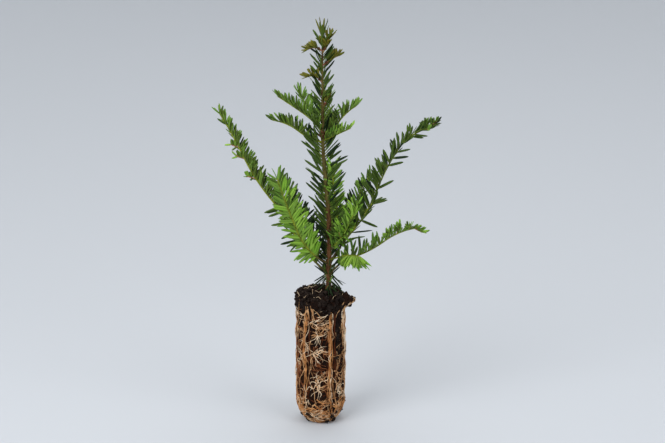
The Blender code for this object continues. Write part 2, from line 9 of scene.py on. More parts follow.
import bpy
import numpy as np
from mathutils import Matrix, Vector


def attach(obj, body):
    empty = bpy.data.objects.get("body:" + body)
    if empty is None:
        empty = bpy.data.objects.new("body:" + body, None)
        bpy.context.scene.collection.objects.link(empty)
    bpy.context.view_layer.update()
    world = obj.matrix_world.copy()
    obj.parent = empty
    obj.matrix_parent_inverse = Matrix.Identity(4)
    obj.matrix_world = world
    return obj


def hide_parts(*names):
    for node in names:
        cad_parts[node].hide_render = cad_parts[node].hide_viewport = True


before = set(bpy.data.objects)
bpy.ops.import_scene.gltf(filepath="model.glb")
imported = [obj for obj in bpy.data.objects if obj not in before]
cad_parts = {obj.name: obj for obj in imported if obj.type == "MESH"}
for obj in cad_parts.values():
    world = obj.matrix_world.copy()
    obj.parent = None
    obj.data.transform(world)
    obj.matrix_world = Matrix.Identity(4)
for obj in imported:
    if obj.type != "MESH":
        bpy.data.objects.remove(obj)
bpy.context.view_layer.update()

# --- Peat of the root ball ----------------------------------------------------------------
# Moist black peat that was pressed into a ribbed round growing cell and slid out of it. It
# stands on its flat foot, holds the grooves of the cell's ribs, and crumbles at the rim to
# a curled lip on the right.

SEED = 11
PLUG_RADIUS = 0.0250
PLUG_FOOT_RADIUS = 0.0124
PLUG_FOOT_HEIGHT = 0.019
PLUG_FOOT_ROUNDING = 0.55
PLUG_SHOULDER = 0.1365
PLUG_BACK_RISE = 0.0042
PLUG_BACK_BEARING = 115.0
PLUG_TOP = 0.1425
PLUG_SEAT = (0.0086, 0.0)
PLUG_COLLAR = 0.1235
RIB_COUNT = 6
RIB_STEP = 360.0 / RIB_COUNT
RIB_DEPTH = 0.0017
RIB_HALF_WIDTH = 4.0
RIB_FADE = (0.118, 0.130)
LUMP_HEIGHT = 0.0007
LUMP_WAVES = ((5, 0.030), (9, 0.019), (14, 0.013), (7, 0.052))
LIP_REACH = 0.0105
LIP_HEIGHT = 0.1330
LIP_HALF_HEIGHT = 0.0055
LIP_BEARING = -4.0
LIP_HALF_WIDTH = 17.0
SLOT_DEPTH = 0.0022
SLOT_HEIGHT = 0.108
SLOT_HALF_HEIGHT = 0.022
SLOT_BEARING = -42.0
SLOT_HALF_WIDTH = 9.0
POCKET_DEPTH = 0.0014
POCKETS = [  # bearing, height, half width in degrees, half height
    (-101, 0.0935, 7, 0.0042),
    (-83, 0.0920, 8, 0.0040),
    (-79, 0.0735, 9, 0.0042),
    (-105, 0.0370, 8, 0.0080),
    (-86, 0.0480, 7, 0.0035),
    (-139, 0.1120, 7, 0.0050),
    (-135, 0.0870, 6, 0.0045),
    (-131, 0.0630, 5, 0.0070),
    (-66, 0.0190, 7, 0.0040),
]
MORE_POCKETS = 26
POCKET_SPANS = ((-30, 200), (0.015, 0.120), (5, 10), (0.003, 0.008))
PEAT_SIDES = 310
PEAT_FOOT_ROWS = 10
PEAT_SIDE_ROWS = 196
PEAT_TOP_ROWS = 44
PEAT_MIDDLE = 0.02  # share left open in the middle of the foot and under the trunk
PEAT_ROW_SPACING = 1.15  # above 1, rows stand closer at the foot
LOOSE_DEPTH = 0.008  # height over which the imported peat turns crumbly
MOUND_OUTWARD = 0.35  # sideways share of the direction that the mound's grains push in
PEAT_GRAINS = ((0.0052, 0.00045), (0.0024, 0.00042), (0.0012, 0.00026))  # size, height
SOIL_GRAINS = ((0.0075, 0.0022), (0.0038, 0.0021), (0.0017, 0.0009))
LATTICE_PRIMES = np.array([73856093, 19349663, 83492791])
SEED_PRIME = 2654435761
MIXERS = (2246822519, 3266489917)


def mottle(points, size, seed):
    """Smooth random field from -1 to 1 over points (..., xyz).

    Each corner of a cubic lattice of this size holds a value hashed from its place, and a
    point blends its eight corners by 3t^2 - 2t^3 along each side of its cell.
    """
    place = np.asarray(points) / size
    cell = np.floor(place).astype(np.int64)
    part = place - cell
    part = part * part * (3 - 2 * part)
    total = np.zeros(place.shape[:-1])
    for corner in np.ndindex(2, 2, 2):
        key = (cell + corner) @ LATTICE_PRIMES + seed * SEED_PRIME
        key = ((key ^ (key >> 15)) * MIXERS[0]) & 0xFFFFFFFF
        key = ((key ^ (key >> 13)) * MIXERS[1]) & 0xFFFFFFFF
        share = np.prod(np.where(corner, part, 1 - part), axis=-1)
        total += share * (((key ^ (key >> 16)) & 0xFFFF) / 32767.5 - 1)
    return total


def heading(bearing, rise):
    """Unit directions: (cos r cos b, cos r sin b, sin r)."""
    turn, lift = np.radians(bearing), np.radians(rise)
    flat = np.cos(lift)
    return np.stack([flat * np.cos(turn), flat * np.sin(turn), np.sin(lift) + 0 * turn], -1)


def bump(value, centre, width):
    """Bell curve exp(-((value - centre) / width)^2)."""
    return np.exp(-(((value - centre) / width) ** 2))


def angle_between(first, second):
    """Signed difference of two bearings, from -180 to 180."""
    return (first - second + 180.0) % 360.0 - 180.0


def bare_patch(bearing, height):
    """Share of bare peat: a bell round the slot's bearing times a bell round its height."""
    around = bump(angle_between(bearing, SLOT_BEARING), 0.0, SLOT_HALF_WIDTH)
    return around * bump(height, SLOT_HEIGHT, SLOT_HALF_HEIGHT)


def pocket_share(bearing, height):
    """Bells at each pocket, where the roots leave the peat bare: the deepest one counts."""
    share = 0.0
    for middle, level, half_width, half_height in POCKETS:
        around = bump(angle_between(bearing, middle), 0.0, half_width)
        share = np.maximum(share, around * bump(height, level, half_height))
    return share


def rib_groove(bearing, height):
    """Depth share of the rib grooves: a bell round each rib's bearing, fading at the rim."""
    off = angle_between(bearing, RIB_STEP * np.round(bearing / RIB_STEP))
    return bump(off, 0.0, RIB_HALF_WIDTH) * np.interp(height, RIB_FADE, (1.0, 0.0))


pocket_rng = np.random.default_rng([SEED, 15])
for _ in range(MORE_POCKETS):
    POCKETS.append([pocket_rng.uniform(*span) for span in POCKET_SPANS])


def peat_radius(bearing, height):
    """Side of the plug: the foot rounds in by (z / foot height)^rounding, plus long seeded waves,
    less the grooves, the bare slot and the pockets, plus the bell-shaped lip."""
    rng = np.random.default_rng(SEED)
    rise = np.clip(height / PLUG_FOOT_HEIGHT, 0, 1)
    radius = PLUG_FOOT_RADIUS + (PLUG_RADIUS - PLUG_FOOT_RADIUS) * rise**PLUG_FOOT_ROUNDING
    lumps = 0.0
    for waves_round, wave_height in LUMP_WAVES:
        phase_round, phase_up = rng.uniform(0, 2 * np.pi, 2)
        round_wave = np.sin(np.radians(bearing) * waves_round + phase_round)
        lumps = lumps + round_wave * np.sin(2 * np.pi * height / wave_height + phase_up)
    relief = LUMP_HEIGHT * lumps / 2 - RIB_DEPTH * rib_groove(bearing, height)
    relief = relief - SLOT_DEPTH * bare_patch(bearing, height)
    relief = relief - POCKET_DEPTH * pocket_share(bearing, height)
    lip = bump(angle_between(bearing, LIP_BEARING), 0.0, LIP_HALF_WIDTH)
    return radius + rise**2 * relief + LIP_REACH * lip * bump(height, LIP_HEIGHT, LIP_HALF_HEIGHT)


def back_rise(bearing):
    """The rim stands higher at the back: a cosine of the bearing, from 0 to the full rise."""
    return PLUG_BACK_RISE * (0.5 + 0.5 * np.cos(np.radians(bearing - PLUG_BACK_BEARING)))


def lifted(bearing, height):
    """Height on the side with the back's rise, which comes in by the eighth power."""
    return height + back_rise(bearing) * (height / PLUG_SHOULDER) ** 8


def peat_rings():
    """Rings from the middle of the underside out to the foot, up the side and over the mound
    to the trunk. The mound is a quarter sine from rim to seat, and grains are added along
    the outward direction, coarser where the soil is bare."""
    bearing = np.linspace(0, 360, PEAT_SIDES, endpoint=False)
    level = heading(bearing, 0.0)
    under = np.linspace(PEAT_MIDDLE, 1, PEAT_FOOT_ROWS)[:, None, None] * level * PLUG_FOOT_RADIUS
    height = PLUG_SHOULDER * np.linspace(0, 1, PEAT_SIDE_ROWS)[:, None] ** PEAT_ROW_SPACING
    side = level * peat_radius(bearing, height)[..., None]
    side[..., 2] = lifted(bearing, height)
    share = np.linspace(0, 1, PEAT_TOP_ROWS)[1:, None, None]
    seat = np.array([*PLUG_SEAT, PLUG_TOP])
    top = side[-1] + (seat - side[-1]) * share * (1 - PEAT_MIDDLE)
    mound = (PLUG_TOP - PLUG_SHOULDER) * np.sin(share[..., 0] * np.pi / 2)
    top[..., 2] = PLUG_SHOULDER + mound + back_rise(bearing) * (1 - share[..., 0])
    rings = np.concatenate([under, side, top])
    rise = np.clip(height / PLUG_FOOT_HEIGHT, 0, 1) + 0 * bearing
    rise = np.concatenate([0 * under[..., 2], rise, 1 + 0 * top[..., 2]])
    upward = MOUND_OUTWARD * level + [0, 0, 1]
    outward = np.concatenate([0 * under, level + 0 * side, upward + 0 * top])
    loose = np.clip((rings[..., 2:] - PLUG_COLLAR) / LOOSE_DEPTH, 0, 1)
    for layer, (mat, soil) in enumerate(zip(PEAT_GRAINS, SOIL_GRAINS)):
        packed = mat[1] * mottle(rings, mat[0], 20 + layer)[..., None]
        crumbly = soil[1] * mottle(rings, soil[0], 30 + layer)[..., None]
        rings += outward * rise[..., None] * (packed * (1 - loose) + crumbly * loose)
    return rings


def tubes(rings):
    """Closed skins over tubes of rings (tube, row, side, xyz): quads between neighbouring
    points, with the first and the last ring of each tube closed by one face."""
    count, rows, sides = rings.shape[:3]
    grid = np.arange(count * rows * sides).reshape(count, rows, sides)
    ahead = np.roll(grid, -1, axis=2)
    quads = np.stack([grid[:, :-1], ahead[:, :-1], ahead[:, 1:], grid[:, 1:]], axis=-1)
    caps = np.concatenate([grid[:, 0, ::-1], grid[:, -1]])
    return rings.reshape(-1, 3), quads.reshape(-1, 4).tolist() + caps.tolist()


def put(name, shape, material, nodes=()):
    """Makes one smooth piece from (points, faces), which rides on the plant and stands for
    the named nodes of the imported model."""
    points, faces = shape
    mesh = bpy.data.meshes.new(name)
    mesh.from_pydata(points.tolist(), [], faces)
    mesh.shade_smooth()
    mesh.materials.append(material)
    piece = bpy.data.objects.new(name, mesh)
    bpy.context.scene.collection.objects.link(piece)
    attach(piece, "root")
    if nodes:
        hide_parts(*nodes)
    return piece


def link_chain(tree, *pairs):
    """Links each (output, input) pair of a node tree."""
    for source, target in pairs:
        tree.links.new(source, target)


def shader_nodes(tree, *kinds):
    """New shader nodes of these kinds in a node tree."""
    return [tree.nodes.new(f"ShaderNode{kind}") for kind in kinds]


def blotch_group():
    """Node group: random patches on Object coordinates, pressed or stretched per axis, that
    blend a dark and a light colour. Edge sets how sharp the patches are."""
    group = bpy.data.node_groups.new("blotches", "ShaderNodeTree")
    for name, kind, value in (
        ("Dark", "NodeSocketColor", (0, 0, 0, 1)),
        ("Light", "NodeSocketColor", (1, 1, 1, 1)),
        ("Size", "NodeSocketFloat", 0.005),
        ("Stretch", "NodeSocketVector", (1, 1, 1)),
        ("Level", "NodeSocketFloat", 0.5),
        ("Edge", "NodeSocketFloat", 0.15),
    ):
        group.interface.new_socket(name, in_out="INPUT", socket_type=kind).default_value = value
    group.interface.new_socket("Colour", in_out="OUTPUT", socket_type="NodeSocketColor")
    group.interface.new_socket("Mask", in_out="OUTPUT", socket_type="NodeSocketFloat")
    given, made = group.nodes.new("NodeGroupInput"), group.nodes.new("NodeGroupOutput")
    place, press, noise = shader_nodes(group, "TexCoord", "VectorMath", "TexNoise")
    scale, low, high = shader_nodes(group, "Math", "Math", "Math")
    spread, blend = shader_nodes(group, "MapRange", "Mix")
    press.operation = "MULTIPLY"
    scale.operation, low.operation, high.operation = "DIVIDE", "SUBTRACT", "ADD"
    scale.inputs[0].default_value = 1.0
    noise.inputs["Detail"].default_value = 3.0
    spread.interpolation_type = "SMOOTHSTEP"
    blend.data_type = "RGBA"
    link_chain(
        group,
        (place.outputs["Object"], press.inputs[0]),
        (given.outputs["Stretch"], press.inputs[1]),
        (press.outputs[0], noise.inputs["Vector"]),
        (given.outputs["Size"], scale.inputs[1]),
        (scale.outputs[0], noise.inputs["Scale"]),
        (given.outputs["Level"], low.inputs[0]),
        (given.outputs["Edge"], low.inputs[1]),
        (given.outputs["Level"], high.inputs[0]),
        (given.outputs["Edge"], high.inputs[1]),
        (noise.outputs["Fac"], spread.inputs["Value"]),
        (low.outputs[0], spread.inputs["From Min"]),
        (high.outputs[0], spread.inputs["From Max"]),
        (spread.outputs["Result"], blend.inputs["Factor"]),
        (given.outputs["Dark"], blend.inputs[6]),
        (given.outputs["Light"], blend.inputs[7]),
        (blend.outputs[2], made.inputs["Colour"]),
        (spread.outputs["Result"], made.inputs["Mask"]),
    )
    return group


blotches = blotch_group()


def blotched(tree, dark, light, size, level, edge, stretch=(1, 1, 1)):
    """Places the blotch group in a material with its own values. A colour may also be the
    output of another node."""
    node = tree.nodes.new("ShaderNodeGroup")
    node.node_tree = blotches
    for name, colour in (("Dark", dark), ("Light", light)):
        if isinstance(colour, tuple):
            node.inputs[name].default_value = (*colour, 1.0)
        else:
            tree.links.new(colour, node.inputs[name])
    for name, value in zip(("Size", "Level", "Edge", "Stretch"), (size, level, edge, stretch)):
        node.inputs[name].default_value = value
    return node


def surface(name, roughness, layers, bump_height=0.0, roughness_spread=0.0):
    """Material from blotch layers of dark, light, size, level and edge, and a stretch where
    they aren't round. The first layer gives both colours, and each later one lays its light
    colour over what is below it. The last layer's mask raises the surface by the bump height
    and dulls it by the roughness spread."""
    made = bpy.data.materials.new(name)
    made.use_nodes = True
    tree = made.node_tree
    shader = tree.nodes["Principled BSDF"]
    shader.inputs["Roughness"].default_value = roughness
    shader.inputs["Specular IOR Level"].default_value = 0.08
    below = None
    for layer in layers:
        node = blotched(tree, *((below, *layer[1:]) if below else layer))
        below = node.outputs["Colour"]
    tree.links.new(below, shader.inputs["Base Color"])
    if roughness_spread:
        spread = tree.nodes.new("ShaderNodeMapRange")
        spread.inputs["To Min"].default_value = roughness
        spread.inputs["To Max"].default_value = roughness + roughness_spread
        link_chain(
            tree,
            (node.outputs["Mask"], spread.inputs["Value"]),
            (spread.outputs["Result"], shader.inputs["Roughness"]),
        )
    if bump_height:
        relief = tree.nodes.new("ShaderNodeBump")
        relief.inputs["Distance"].default_value = bump_height
        link_chain(
            tree,
            (node.outputs["Mask"], relief.inputs["Height"]),
            (relief.outputs["Normal"], shader.inputs["Normal"]),
        )
    return made


peat = surface(
    "moist_peat",
    0.72,
    (
        ((0.007, 0.0025, 0.0015), (0.026, 0.009, 0.004), 0.006, 0.5, 0.2),
        (None, (0.090, 0.036, 0.016), 0.0022, 0.64, 0.06),
        (None, (0.007, 0.004, 0.003), 0.0008, 0.5, 0.10),
    ),
    bump_height=0.0003,
    roughness_spread=0.2,
)
put("peat", tubes(peat_rings()[None]), peat, ["root_ball"])

# --- Crumbs of soil ------------------------------------------------------------------------
# Loose crumbs of peat lie on the mound and at the crumbling rim, round the trunk's foot and
# in the bare slot. Each is a lump a millimetre or two across, and some are chunks of 3 to
# 6 mm.

CRUMB_GRID = (5, 7)  # rows and sides of a small crumb
CHUNK_GRID = (7, 11)
CRUMB_SIZE = (0.0004, 0.0017)
CHUNK_SIZE = (0.0015, 0.0031)
CRUMB_UNEVEN = (0.55, 1.35)
CRUMB_FLATNESS = 0.72
CRUMB_DEPTH = (-0.0006, 0.0016)  # of centres under and over the mound's skin
FOOT_CRUMB_HEIGHT = (0.003, 0.014)
TOP_CRUMBS = 900
SIDE_CRUMBS = 460
SLOT_CRUMBS = 150
FOOT_CRUMBS = 150
CHUNK_EVERY = 8  # one crumb in so many is a big chunk


def unit(vectors):
    """Vectors divided by their lengths."""
    return vectors / np.linalg.norm(vectors, axis=-1, keepdims=True)


def lumps(centres, sizes, grid, rng):
    """A lumpy ball at each centre: latitude and longitude on a sphere, each point's radius
    times a random factor, flattened, turned to a random direction and kept above the floor."""
    count = len(centres)
    rise = np.linspace(-80, 80, grid[0])[:, None]
    ball = heading(np.linspace(0, 360, grid[1], endpoint=False)[None], rise)
    ball = ball * rng.uniform(*CRUMB_UNEVEN, (count, *grid, 1))
    ball[..., 2] *= CRUMB_FLATNESS
    first = unit(rng.normal(size=(count, 3)))
    second = unit(np.cross(first, rng.normal(size=(count, 3))))
    turn = np.stack([first, second, np.cross(first, second)], axis=1)
    ball = np.einsum("nrsi,nij->nrsj", ball, turn) * sizes[:, None, None, None]
    rings = centres[:, None, None] + ball
    rings[..., 2] = np.maximum(rings[..., 2], 0.0)
    return rings


def mound_height(x, y):
    """Height of the soil's top: a quarter sine from the rim to the trunk, and the back's rise."""
    reach = np.hypot(x, y)
    seat = np.hypot(x - PLUG_SEAT[0], y - PLUG_SEAT[1])
    share = 1 - np.clip(seat / np.maximum(seat + PLUG_RADIUS - reach, 1e-6), 0, 1)
    bearing = np.degrees(np.arctan2(y, x))
    mound = (PLUG_TOP - PLUG_SHOULDER) * np.sin(share * np.pi / 2)
    return PLUG_SHOULDER + mound + back_rise(bearing) * (1 - share)


crumb_rng = np.random.default_rng([SEED, 40])
reach = PLUG_RADIUS * np.sqrt(crumb_rng.uniform(0, 1, TOP_CRUMBS))
bearing = crumb_rng.uniform(0, 360, TOP_CRUMBS)
top_crumbs = heading(bearing, 0.0) * reach[:, None]
top_crumbs[:, 2] = mound_height(top_crumbs[:, 0], top_crumbs[:, 1])
top_crumbs[:, 2] += crumb_rng.uniform(*CRUMB_DEPTH, TOP_CRUMBS)

bearing = crumb_rng.uniform(0, 360, SIDE_CRUMBS)
height = PLUG_COLLAR + (PLUG_SHOULDER - PLUG_COLLAR) * crumb_rng.beta(2.2, 1.2, SIDE_CRUMBS)
slot_turn = SLOT_BEARING + crumb_rng.normal(0, 0.6 * SLOT_HALF_WIDTH, SLOT_CRUMBS)
slot_height = SLOT_HEIGHT + crumb_rng.normal(0, 0.8 * SLOT_HALF_HEIGHT, SLOT_CRUMBS)
foot_turn = crumb_rng.uniform(0, 360, FOOT_CRUMBS)
foot_height = crumb_rng.uniform(*FOOT_CRUMB_HEIGHT, FOOT_CRUMBS)
bearing = np.concatenate([bearing, slot_turn, foot_turn])
height = np.concatenate([height, slot_height, foot_height])
side_crumbs = heading(bearing, 0.0) * peat_radius(bearing, height)[:, None]
side_crumbs[:, 2] = lifted(bearing, height)

centres = np.concatenate([top_crumbs, side_crumbs])
low, high = CRUMB_SIZE
sizes = low + (high - low) * crumb_rng.beta(1.4, 2.6, len(centres))
crumb_material = surface(
    "soil_crumb",
    0.70,
    (
        ((0.007, 0.004, 0.003), (0.026, 0.017, 0.013), 0.004, 0.5, 0.2),
        # pale speckles: partly lighter bits of peat, partly painted highlights of the moist crumbs
        (None, (0.110, 0.080, 0.062), 0.0012, 0.68, 0.05),
    ),
    bump_height=0.0002,
)
chunks = np.arange(len(centres)) % CHUNK_EVERY == 0
chunk_sizes = crumb_rng.uniform(*CHUNK_SIZE, chunks.sum())
small_crumbs = lumps(centres[~chunks], sizes[~chunks], CRUMB_GRID, crumb_rng)
put("soil_crumbs", tubes(small_crumbs), crumb_material)
big_crumbs = lumps(centres[chunks], chunk_sizes, CHUNK_GRID, crumb_rng)
put("soil_chunks", tubes(big_crumbs), crumb_material)

# --- Weave of roots ------------------------------------------------------------------------
# Roots press against the cell's wall and run down it: thick cords beside the grooves, finer
# ones that fan out, wander and cross each other, and a golden mat that circles the foot. A
# tongue of them holds the curled lip together.

ROOT_SIDES = 5
WALL_STEPS = 160
WALL_HEIGHT = (PLUG_SHOULDER + 0.001) * np.linspace(0, 1, WALL_STEPS) ** 1.6
WALL_RUN = np.cumsum(np.hypot(np.diff(peat_radius(180.0, WALL_HEIGHT)), np.diff(WALL_HEIGHT)))
WALL_RUN = np.append(0.0, WALL_RUN)

SLOT_NARROWING = 0.62  # the rootless slot is wider than its dent
SLOT_ROOTLESS = 0.110
SLOT_ROOTLESS_HALF = 0.030
GROOVE_OFFSET = 4.5
GROOVE_HALF_WIDTH = 3.2
BARE_LEVEL = 0.45  # a step of a root counts as over bare peat above this share
CURL_WAVES = (0.7, 1.9, 4.3)
CURL_LENGTH = 0.05
RIPPLE_HEIGHT = 0.00025
RIPPLE_LENGTH = 0.004
FOOT_STAND = 0.35  # share of the stand left at the edge of the foot
FOOT_STAND_RUN = 0.012
ROOT_TAPER = 0.6
ROOT_END = (18, 0.12)  # how steeply an end comes to a point, and how blunt it is
LEAST_BARE = 0.04  # roots with less than this share over bare peat all stay
ROOT_UNEVEN = 0.18

# A kind of root: how many, and how many share a start. Down is the mean and scatter of the
# heading, stand the way off the peat, and span the stretch of the wall where starts lie.
# Bold is the largest share of a root that may lie over bare peat. Middle and spread are the
# bearing of the starts and its scatter.
Roots = namedtuple(
    "Roots",
    "tone count fan steps length radius down curl stand span bold middle spread",
    defaults=(None, 0),
)


def wall_point(bearing, run, stand):
    """Point on the plug's wall: run is the way along its profile, counted from the edge of
    the foot up, and stand is how far the point stands off the peat."""
    height = np.interp(run, WALL_RUN, WALL_HEIGHT)
    share = FOOT_STAND + (1 - FOOT_STAND) * np.clip(run / FOOT_STAND_RUN, 0, 1)
    reach = peat_radius(bearing, height) + stand * share
    spot = heading(bearing, 0.0) * reach[..., None]
    spot[..., 2] = lifted(bearing, height)
    return spot


def wander(kind, bearing, run, rng):
    """Ways of roots over the wall. A root's heading in the unrolled wall starts at its down
    angle (-90 is straight down) and swings by a sum of three sines of random phase, curl
    degrees each; its place is the running sum of its steps."""
    count = len(bearing)
    step = np.linspace(0, 1, kind.steps)[None]
    length = rng.uniform(*kind.length, (count, 1))
    angle = rng.normal(*kind.down, (count, 1))
    for waves in CURL_WAVES:
        phase = rng.uniform(0, 2 * np.pi, (count, 1))
        swing = kind.curl * rng.normal(0, 1, (count, 1)) / waves**0.35
        angle = angle + swing * np.sin(2 * np.pi * waves * step * length / CURL_LENGTH + phase)
    stride = length / kind.steps
    across = np.cumsum(np.cos(np.radians(angle)), axis=1) * stride
    along = np.cumsum(np.sin(np.radians(angle)), axis=1) * stride
    ripple = np.sin(step * length / RIPPLE_LENGTH + rng.uniform(0, 6, (count, 1)))
    stand = rng.uniform(*kind.stand, (count, 1)) + RIPPLE_HEIGHT * ripple
    run = np.clip(run[:, None] + along, 0.0005, WALL_RUN[-1])
    return wall_point(bearing[:, None] + np.degrees(across / PLUG_RADIUS), run, stand)


def square_to(vectors, along):
    """Vectors less their part along the way, at unit length."""
    return unit(vectors - along * np.sum(along * vectors, axis=-1, keepdims=True))


def sweep(ways, radii, sides):
    """Tubes along ways (tube, step, xyz): at each step a ring of points stands square to the
    way, spanned by cos and sin times the radius, from a side vector square to the chord."""
    along = unit(np.gradient(ways, axis=1))
    chord = ways[:, -1:] - ways[:, :1]
    facing = np.stack([-chord[..., 1], chord[..., 0], 0 * chord[..., 0]], -1) + [1e-6, 0, 0]
    across = square_to(facing, along)
    upward = np.cross(along, across)
    turn = 2 * np.pi * np.arange(sides) / sides
    ring = np.cos(turn)[:, None] * across[:, :, None] + np.sin(turn)[:, None] * upward[:, :, None]
    return ways[:, :, None] + ring * radii[..., None, None]


def weave(kind, rng):
    """Tubes of one kind of root. Starts lie at random over the wall, or round a bearing, and
    each start sends out a fan of roots. Most that cross the slot, a groove's bare strip or a
    pocket are dropped."""
    starts = kind.count // kind.fan
    if kind.middle is None:
        bearing = rng.uniform(0, 360, starts)
    else:
        bearing = kind.middle + rng.normal(0, kind.spread, starts)
    run = WALL_RUN[-1] * rng.uniform(*kind.span, starts)
    bearing, run = np.repeat(bearing, kind.fan), np.repeat(run, kind.fan)
    ways = wander(kind, bearing, run, rng)
    turn = np.degrees(np.arctan2(ways[..., 1], ways[..., 0]))
    slot = bump(angle_between(turn, SLOT_BEARING) * SLOT_NARROWING, 0.0, SLOT_HALF_WIDTH)
    slot = slot * (np.abs(ways[..., 2] - SLOT_ROOTLESS) < SLOT_ROOTLESS_HALF)
    nearest = RIB_STEP * np.round((turn - GROOVE_OFFSET) / RIB_STEP) + GROOVE_OFFSET
    side = angle_between(turn, nearest)
    groove = bump(side, 0.0, GROOVE_HALF_WIDTH) * (ways[..., 2] < PLUG_COLLAR)
    bare = np.maximum(np.maximum(slot, groove), pocket_share(turn, ways[..., 2])) > BARE_LEVEL
    ways = ways[bare.mean(axis=1) < rng.uniform(LEAST_BARE, kind.bold, len(ways))]
    count = len(ways)
    step = np.linspace(0, 1, kind.steps)[None]
    radii = rng.uniform(*kind.radius, (count, 1)) * (1 - ROOT_TAPER * step)
    swell = np.sin(step * rng.uniform(10, 40, (count, 1)) + rng.uniform(0, 6, (count, 1)))
    ends = np.clip(np.minimum(step, 1 - step) * ROOT_END[0], ROOT_END[1], 1) ** 0.5
    rings = sweep(ways, radii * (1 + ROOT_UNEVEN * swell) * ends, ROOT_SIDES)
    rings[..., 2] = np.maximum(rings[..., 2], 0.0)
    return tubes(rings)


def joined(shapes):
    """One shape from many: points in a row, and faces counted on from those before."""
    points = np.concatenate([shape[0] for shape in shapes])
    counts = np.cumsum([0] + [len(shape[0]) for shape in shapes])
    faces = []
    for start, shape in zip(counts, shapes):
        faces += [[corner + start for corner in face] for face in shape[1]]
    return points, faces


CORD_OFFSET = -3.5
LAYERS = (  # roots all over the wall, from the peat outwards
    ("dark", 70, 1, 40, (0.020, 0.070), (0.00035, 0.00065), (-90, 14), 10, (-0.0002, 0.0003),
     (0.1, 0.92), 0.5),
    ("dark", 600, 3, 20, (0.008, 0.024), (0.00022, 0.00042), (-70, 60), 32, (-0.0002, 0.0004),
     (0.0, 0.90), 0.5),
    ("brown", 26, 1, 40, (0.030, 0.080), (0.00035, 0.00070), (-90, 9), 12, (0.0000, 0.0006),
     (0.3, 0.92), 0.3),
    ("brown", 560, 4, 20, (0.007, 0.018), (0.00024, 0.00048), (-85, 55), 40, (0.0001, 0.0007),
     (0.0, 0.92), 0.35),
    ("tan", 14, 1, 40, (0.030, 0.070), (0.00035, 0.00060), (-90, 10), 14, (0.0003, 0.0009),
     (0.3, 0.93), 0.25),
    ("tan", 480, 4, 20, (0.007, 0.018), (0.00026, 0.00050), (-85, 55), 42, (0.0003, 0.0011),
     (0.0, 0.92), 0.30),
    ("tan", 330, 2, 24, (0.010, 0.026), (0.00028, 0.00055), (-30, 45), 24, (0.0001, 0.0010),
     (0.0, 0.20), 0.3),
    ("cord", 260, 1, 26, (0.010, 0.026), (0.00040, 0.00075), (-50, 35), 16, (0.0004, 0.0012),
     (0.0, 0.26), 0.6),
    ("pale", 330, 5, 24, (0.006, 0.018), (0.00024, 0.00046), (-90, 60), 44, (0.0005, 0.0014),
     (0.02, 0.92), 0.25),
    ("pale", 120, 2, 26, (0.010, 0.026), (0.00028, 0.00050), (-40, 45), 22, (0.0004, 0.0012),
     (0.0, 0.17), 0.3),
)
TUFTS = (  # roots that start round one bearing
    ("pale", 9, 1, 30, (0.012, 0.022), (0.00030, 0.00048), (16, 12), 14, (0.0004, 0.0011),
     (0.80, 0.90), 0.9, -104, 9),
    ("tan", 9, 1, 30, (0.012, 0.020), (0.00030, 0.00050), (16, 12), 14, (0.0002, 0.0008),
     (0.72, 0.86), 0.9, -104, 8),
    ("pale", 12, 6, 30, (0.012, 0.022), (0.00030, 0.00050), (-20, 60), 24, (0.0006, 0.0013),
     (0.60, 0.62), 0.9, -107, 1.0),
    ("pale", 10, 5, 30, (0.010, 0.020), (0.00035, 0.00060), (-50, 60), 34, (0.0006, 0.0014),
     (0.36, 0.38), 0.9, -93, 2.0),
    ("pale", 8, 4, 30, (0.010, 0.018), (0.00030, 0.00050), (-60, 50), 30, (0.0006, 0.0013),
     (0.74, 0.76), 0.9, -96, 2.0),
    ("tan", 12, 1, 34, (0.016, 0.030), (0.00040, 0.00070), (-92, 12), 12, (0.0004, 0.0010),
     (0.93, 1.0), 0.9, -120, 6),
    ("tan", 9, 1, 20, (0.004, 0.009), (0.00025, 0.00040), (-50, 50), 20, (0.0004, 0.0010),
     (0.62, 0.88), 9.0, -43, 5),
    ("pale", 26, 1, 40, (0.014, 0.040), (0.00035, 0.00065), (-90, 7), 10, (0.0003, 0.0012),
     (0.90, 1.0), 0.9, -10, 9),
    ("tan", 34, 1, 40, (0.014, 0.050), (0.00035, 0.00065), (-90, 7), 10, (0.0002, 0.0010),
     (0.88, 1.0), 0.9, -16, 9),
)
WEAVE = [Roots(*row) for row in LAYERS + TUFTS]
for rib in range(RIB_COUNT):
    cord, groove = RIB_STEP * rib + CORD_OFFSET, RIB_STEP * rib + GROOVE_OFFSET
    WEAVE += [
        Roots("cord", 4, 1, 70, (0.080, 0.125), (0.00055, 0.00095), (-90, 2.0), 4.5,
              (0.0003, 0.0012), (0.86, 0.95), 0.9, cord, 2.0),
        Roots("tan", 4, 1, 70, (0.020, 0.070), (0.00035, 0.00060), (-90, 3.0), 10.0,
              (0.0008, 0.0018), (0.40, 0.97), 0.9, cord - 3, 2.0),
        Roots("pale", 3, 1, 70, (0.015, 0.050), (0.00035, 0.00055), (-90, 3.0), 12.0,
              (0.0010, 0.0020), (0.30, 0.95), 0.9, cord - 3, 2.5),
        Roots("dark", 8, 1, 60, (0.080, 0.120), (0.00050, 0.00085), (-90, 1.5), 2.0,
              (0.0000, 0.0003), (0.84, 0.94), 0.9, groove, 1.6),
        Roots("tan", 3, 1, 60, (0.015, 0.050), (0.00035, 0.00060), (-90, 3.0), 12.0,
              (0.0004, 0.0010), (0.30, 0.92), 0.9, groove + 5, 1.5),
    ]


def root_finish(name, dark, light):
    """Root skin: two tones in streaks, stained in places by the peat."""
    return surface(
        name,
        0.55,
        (
            (dark, light, 0.005, 0.48, 0.2, (1, 1, 0.5)),
            (None, (0.045, 0.016, 0.006), 0.0035, 0.62, 0.07),
        ),
        bump_height=0.00005,
    )


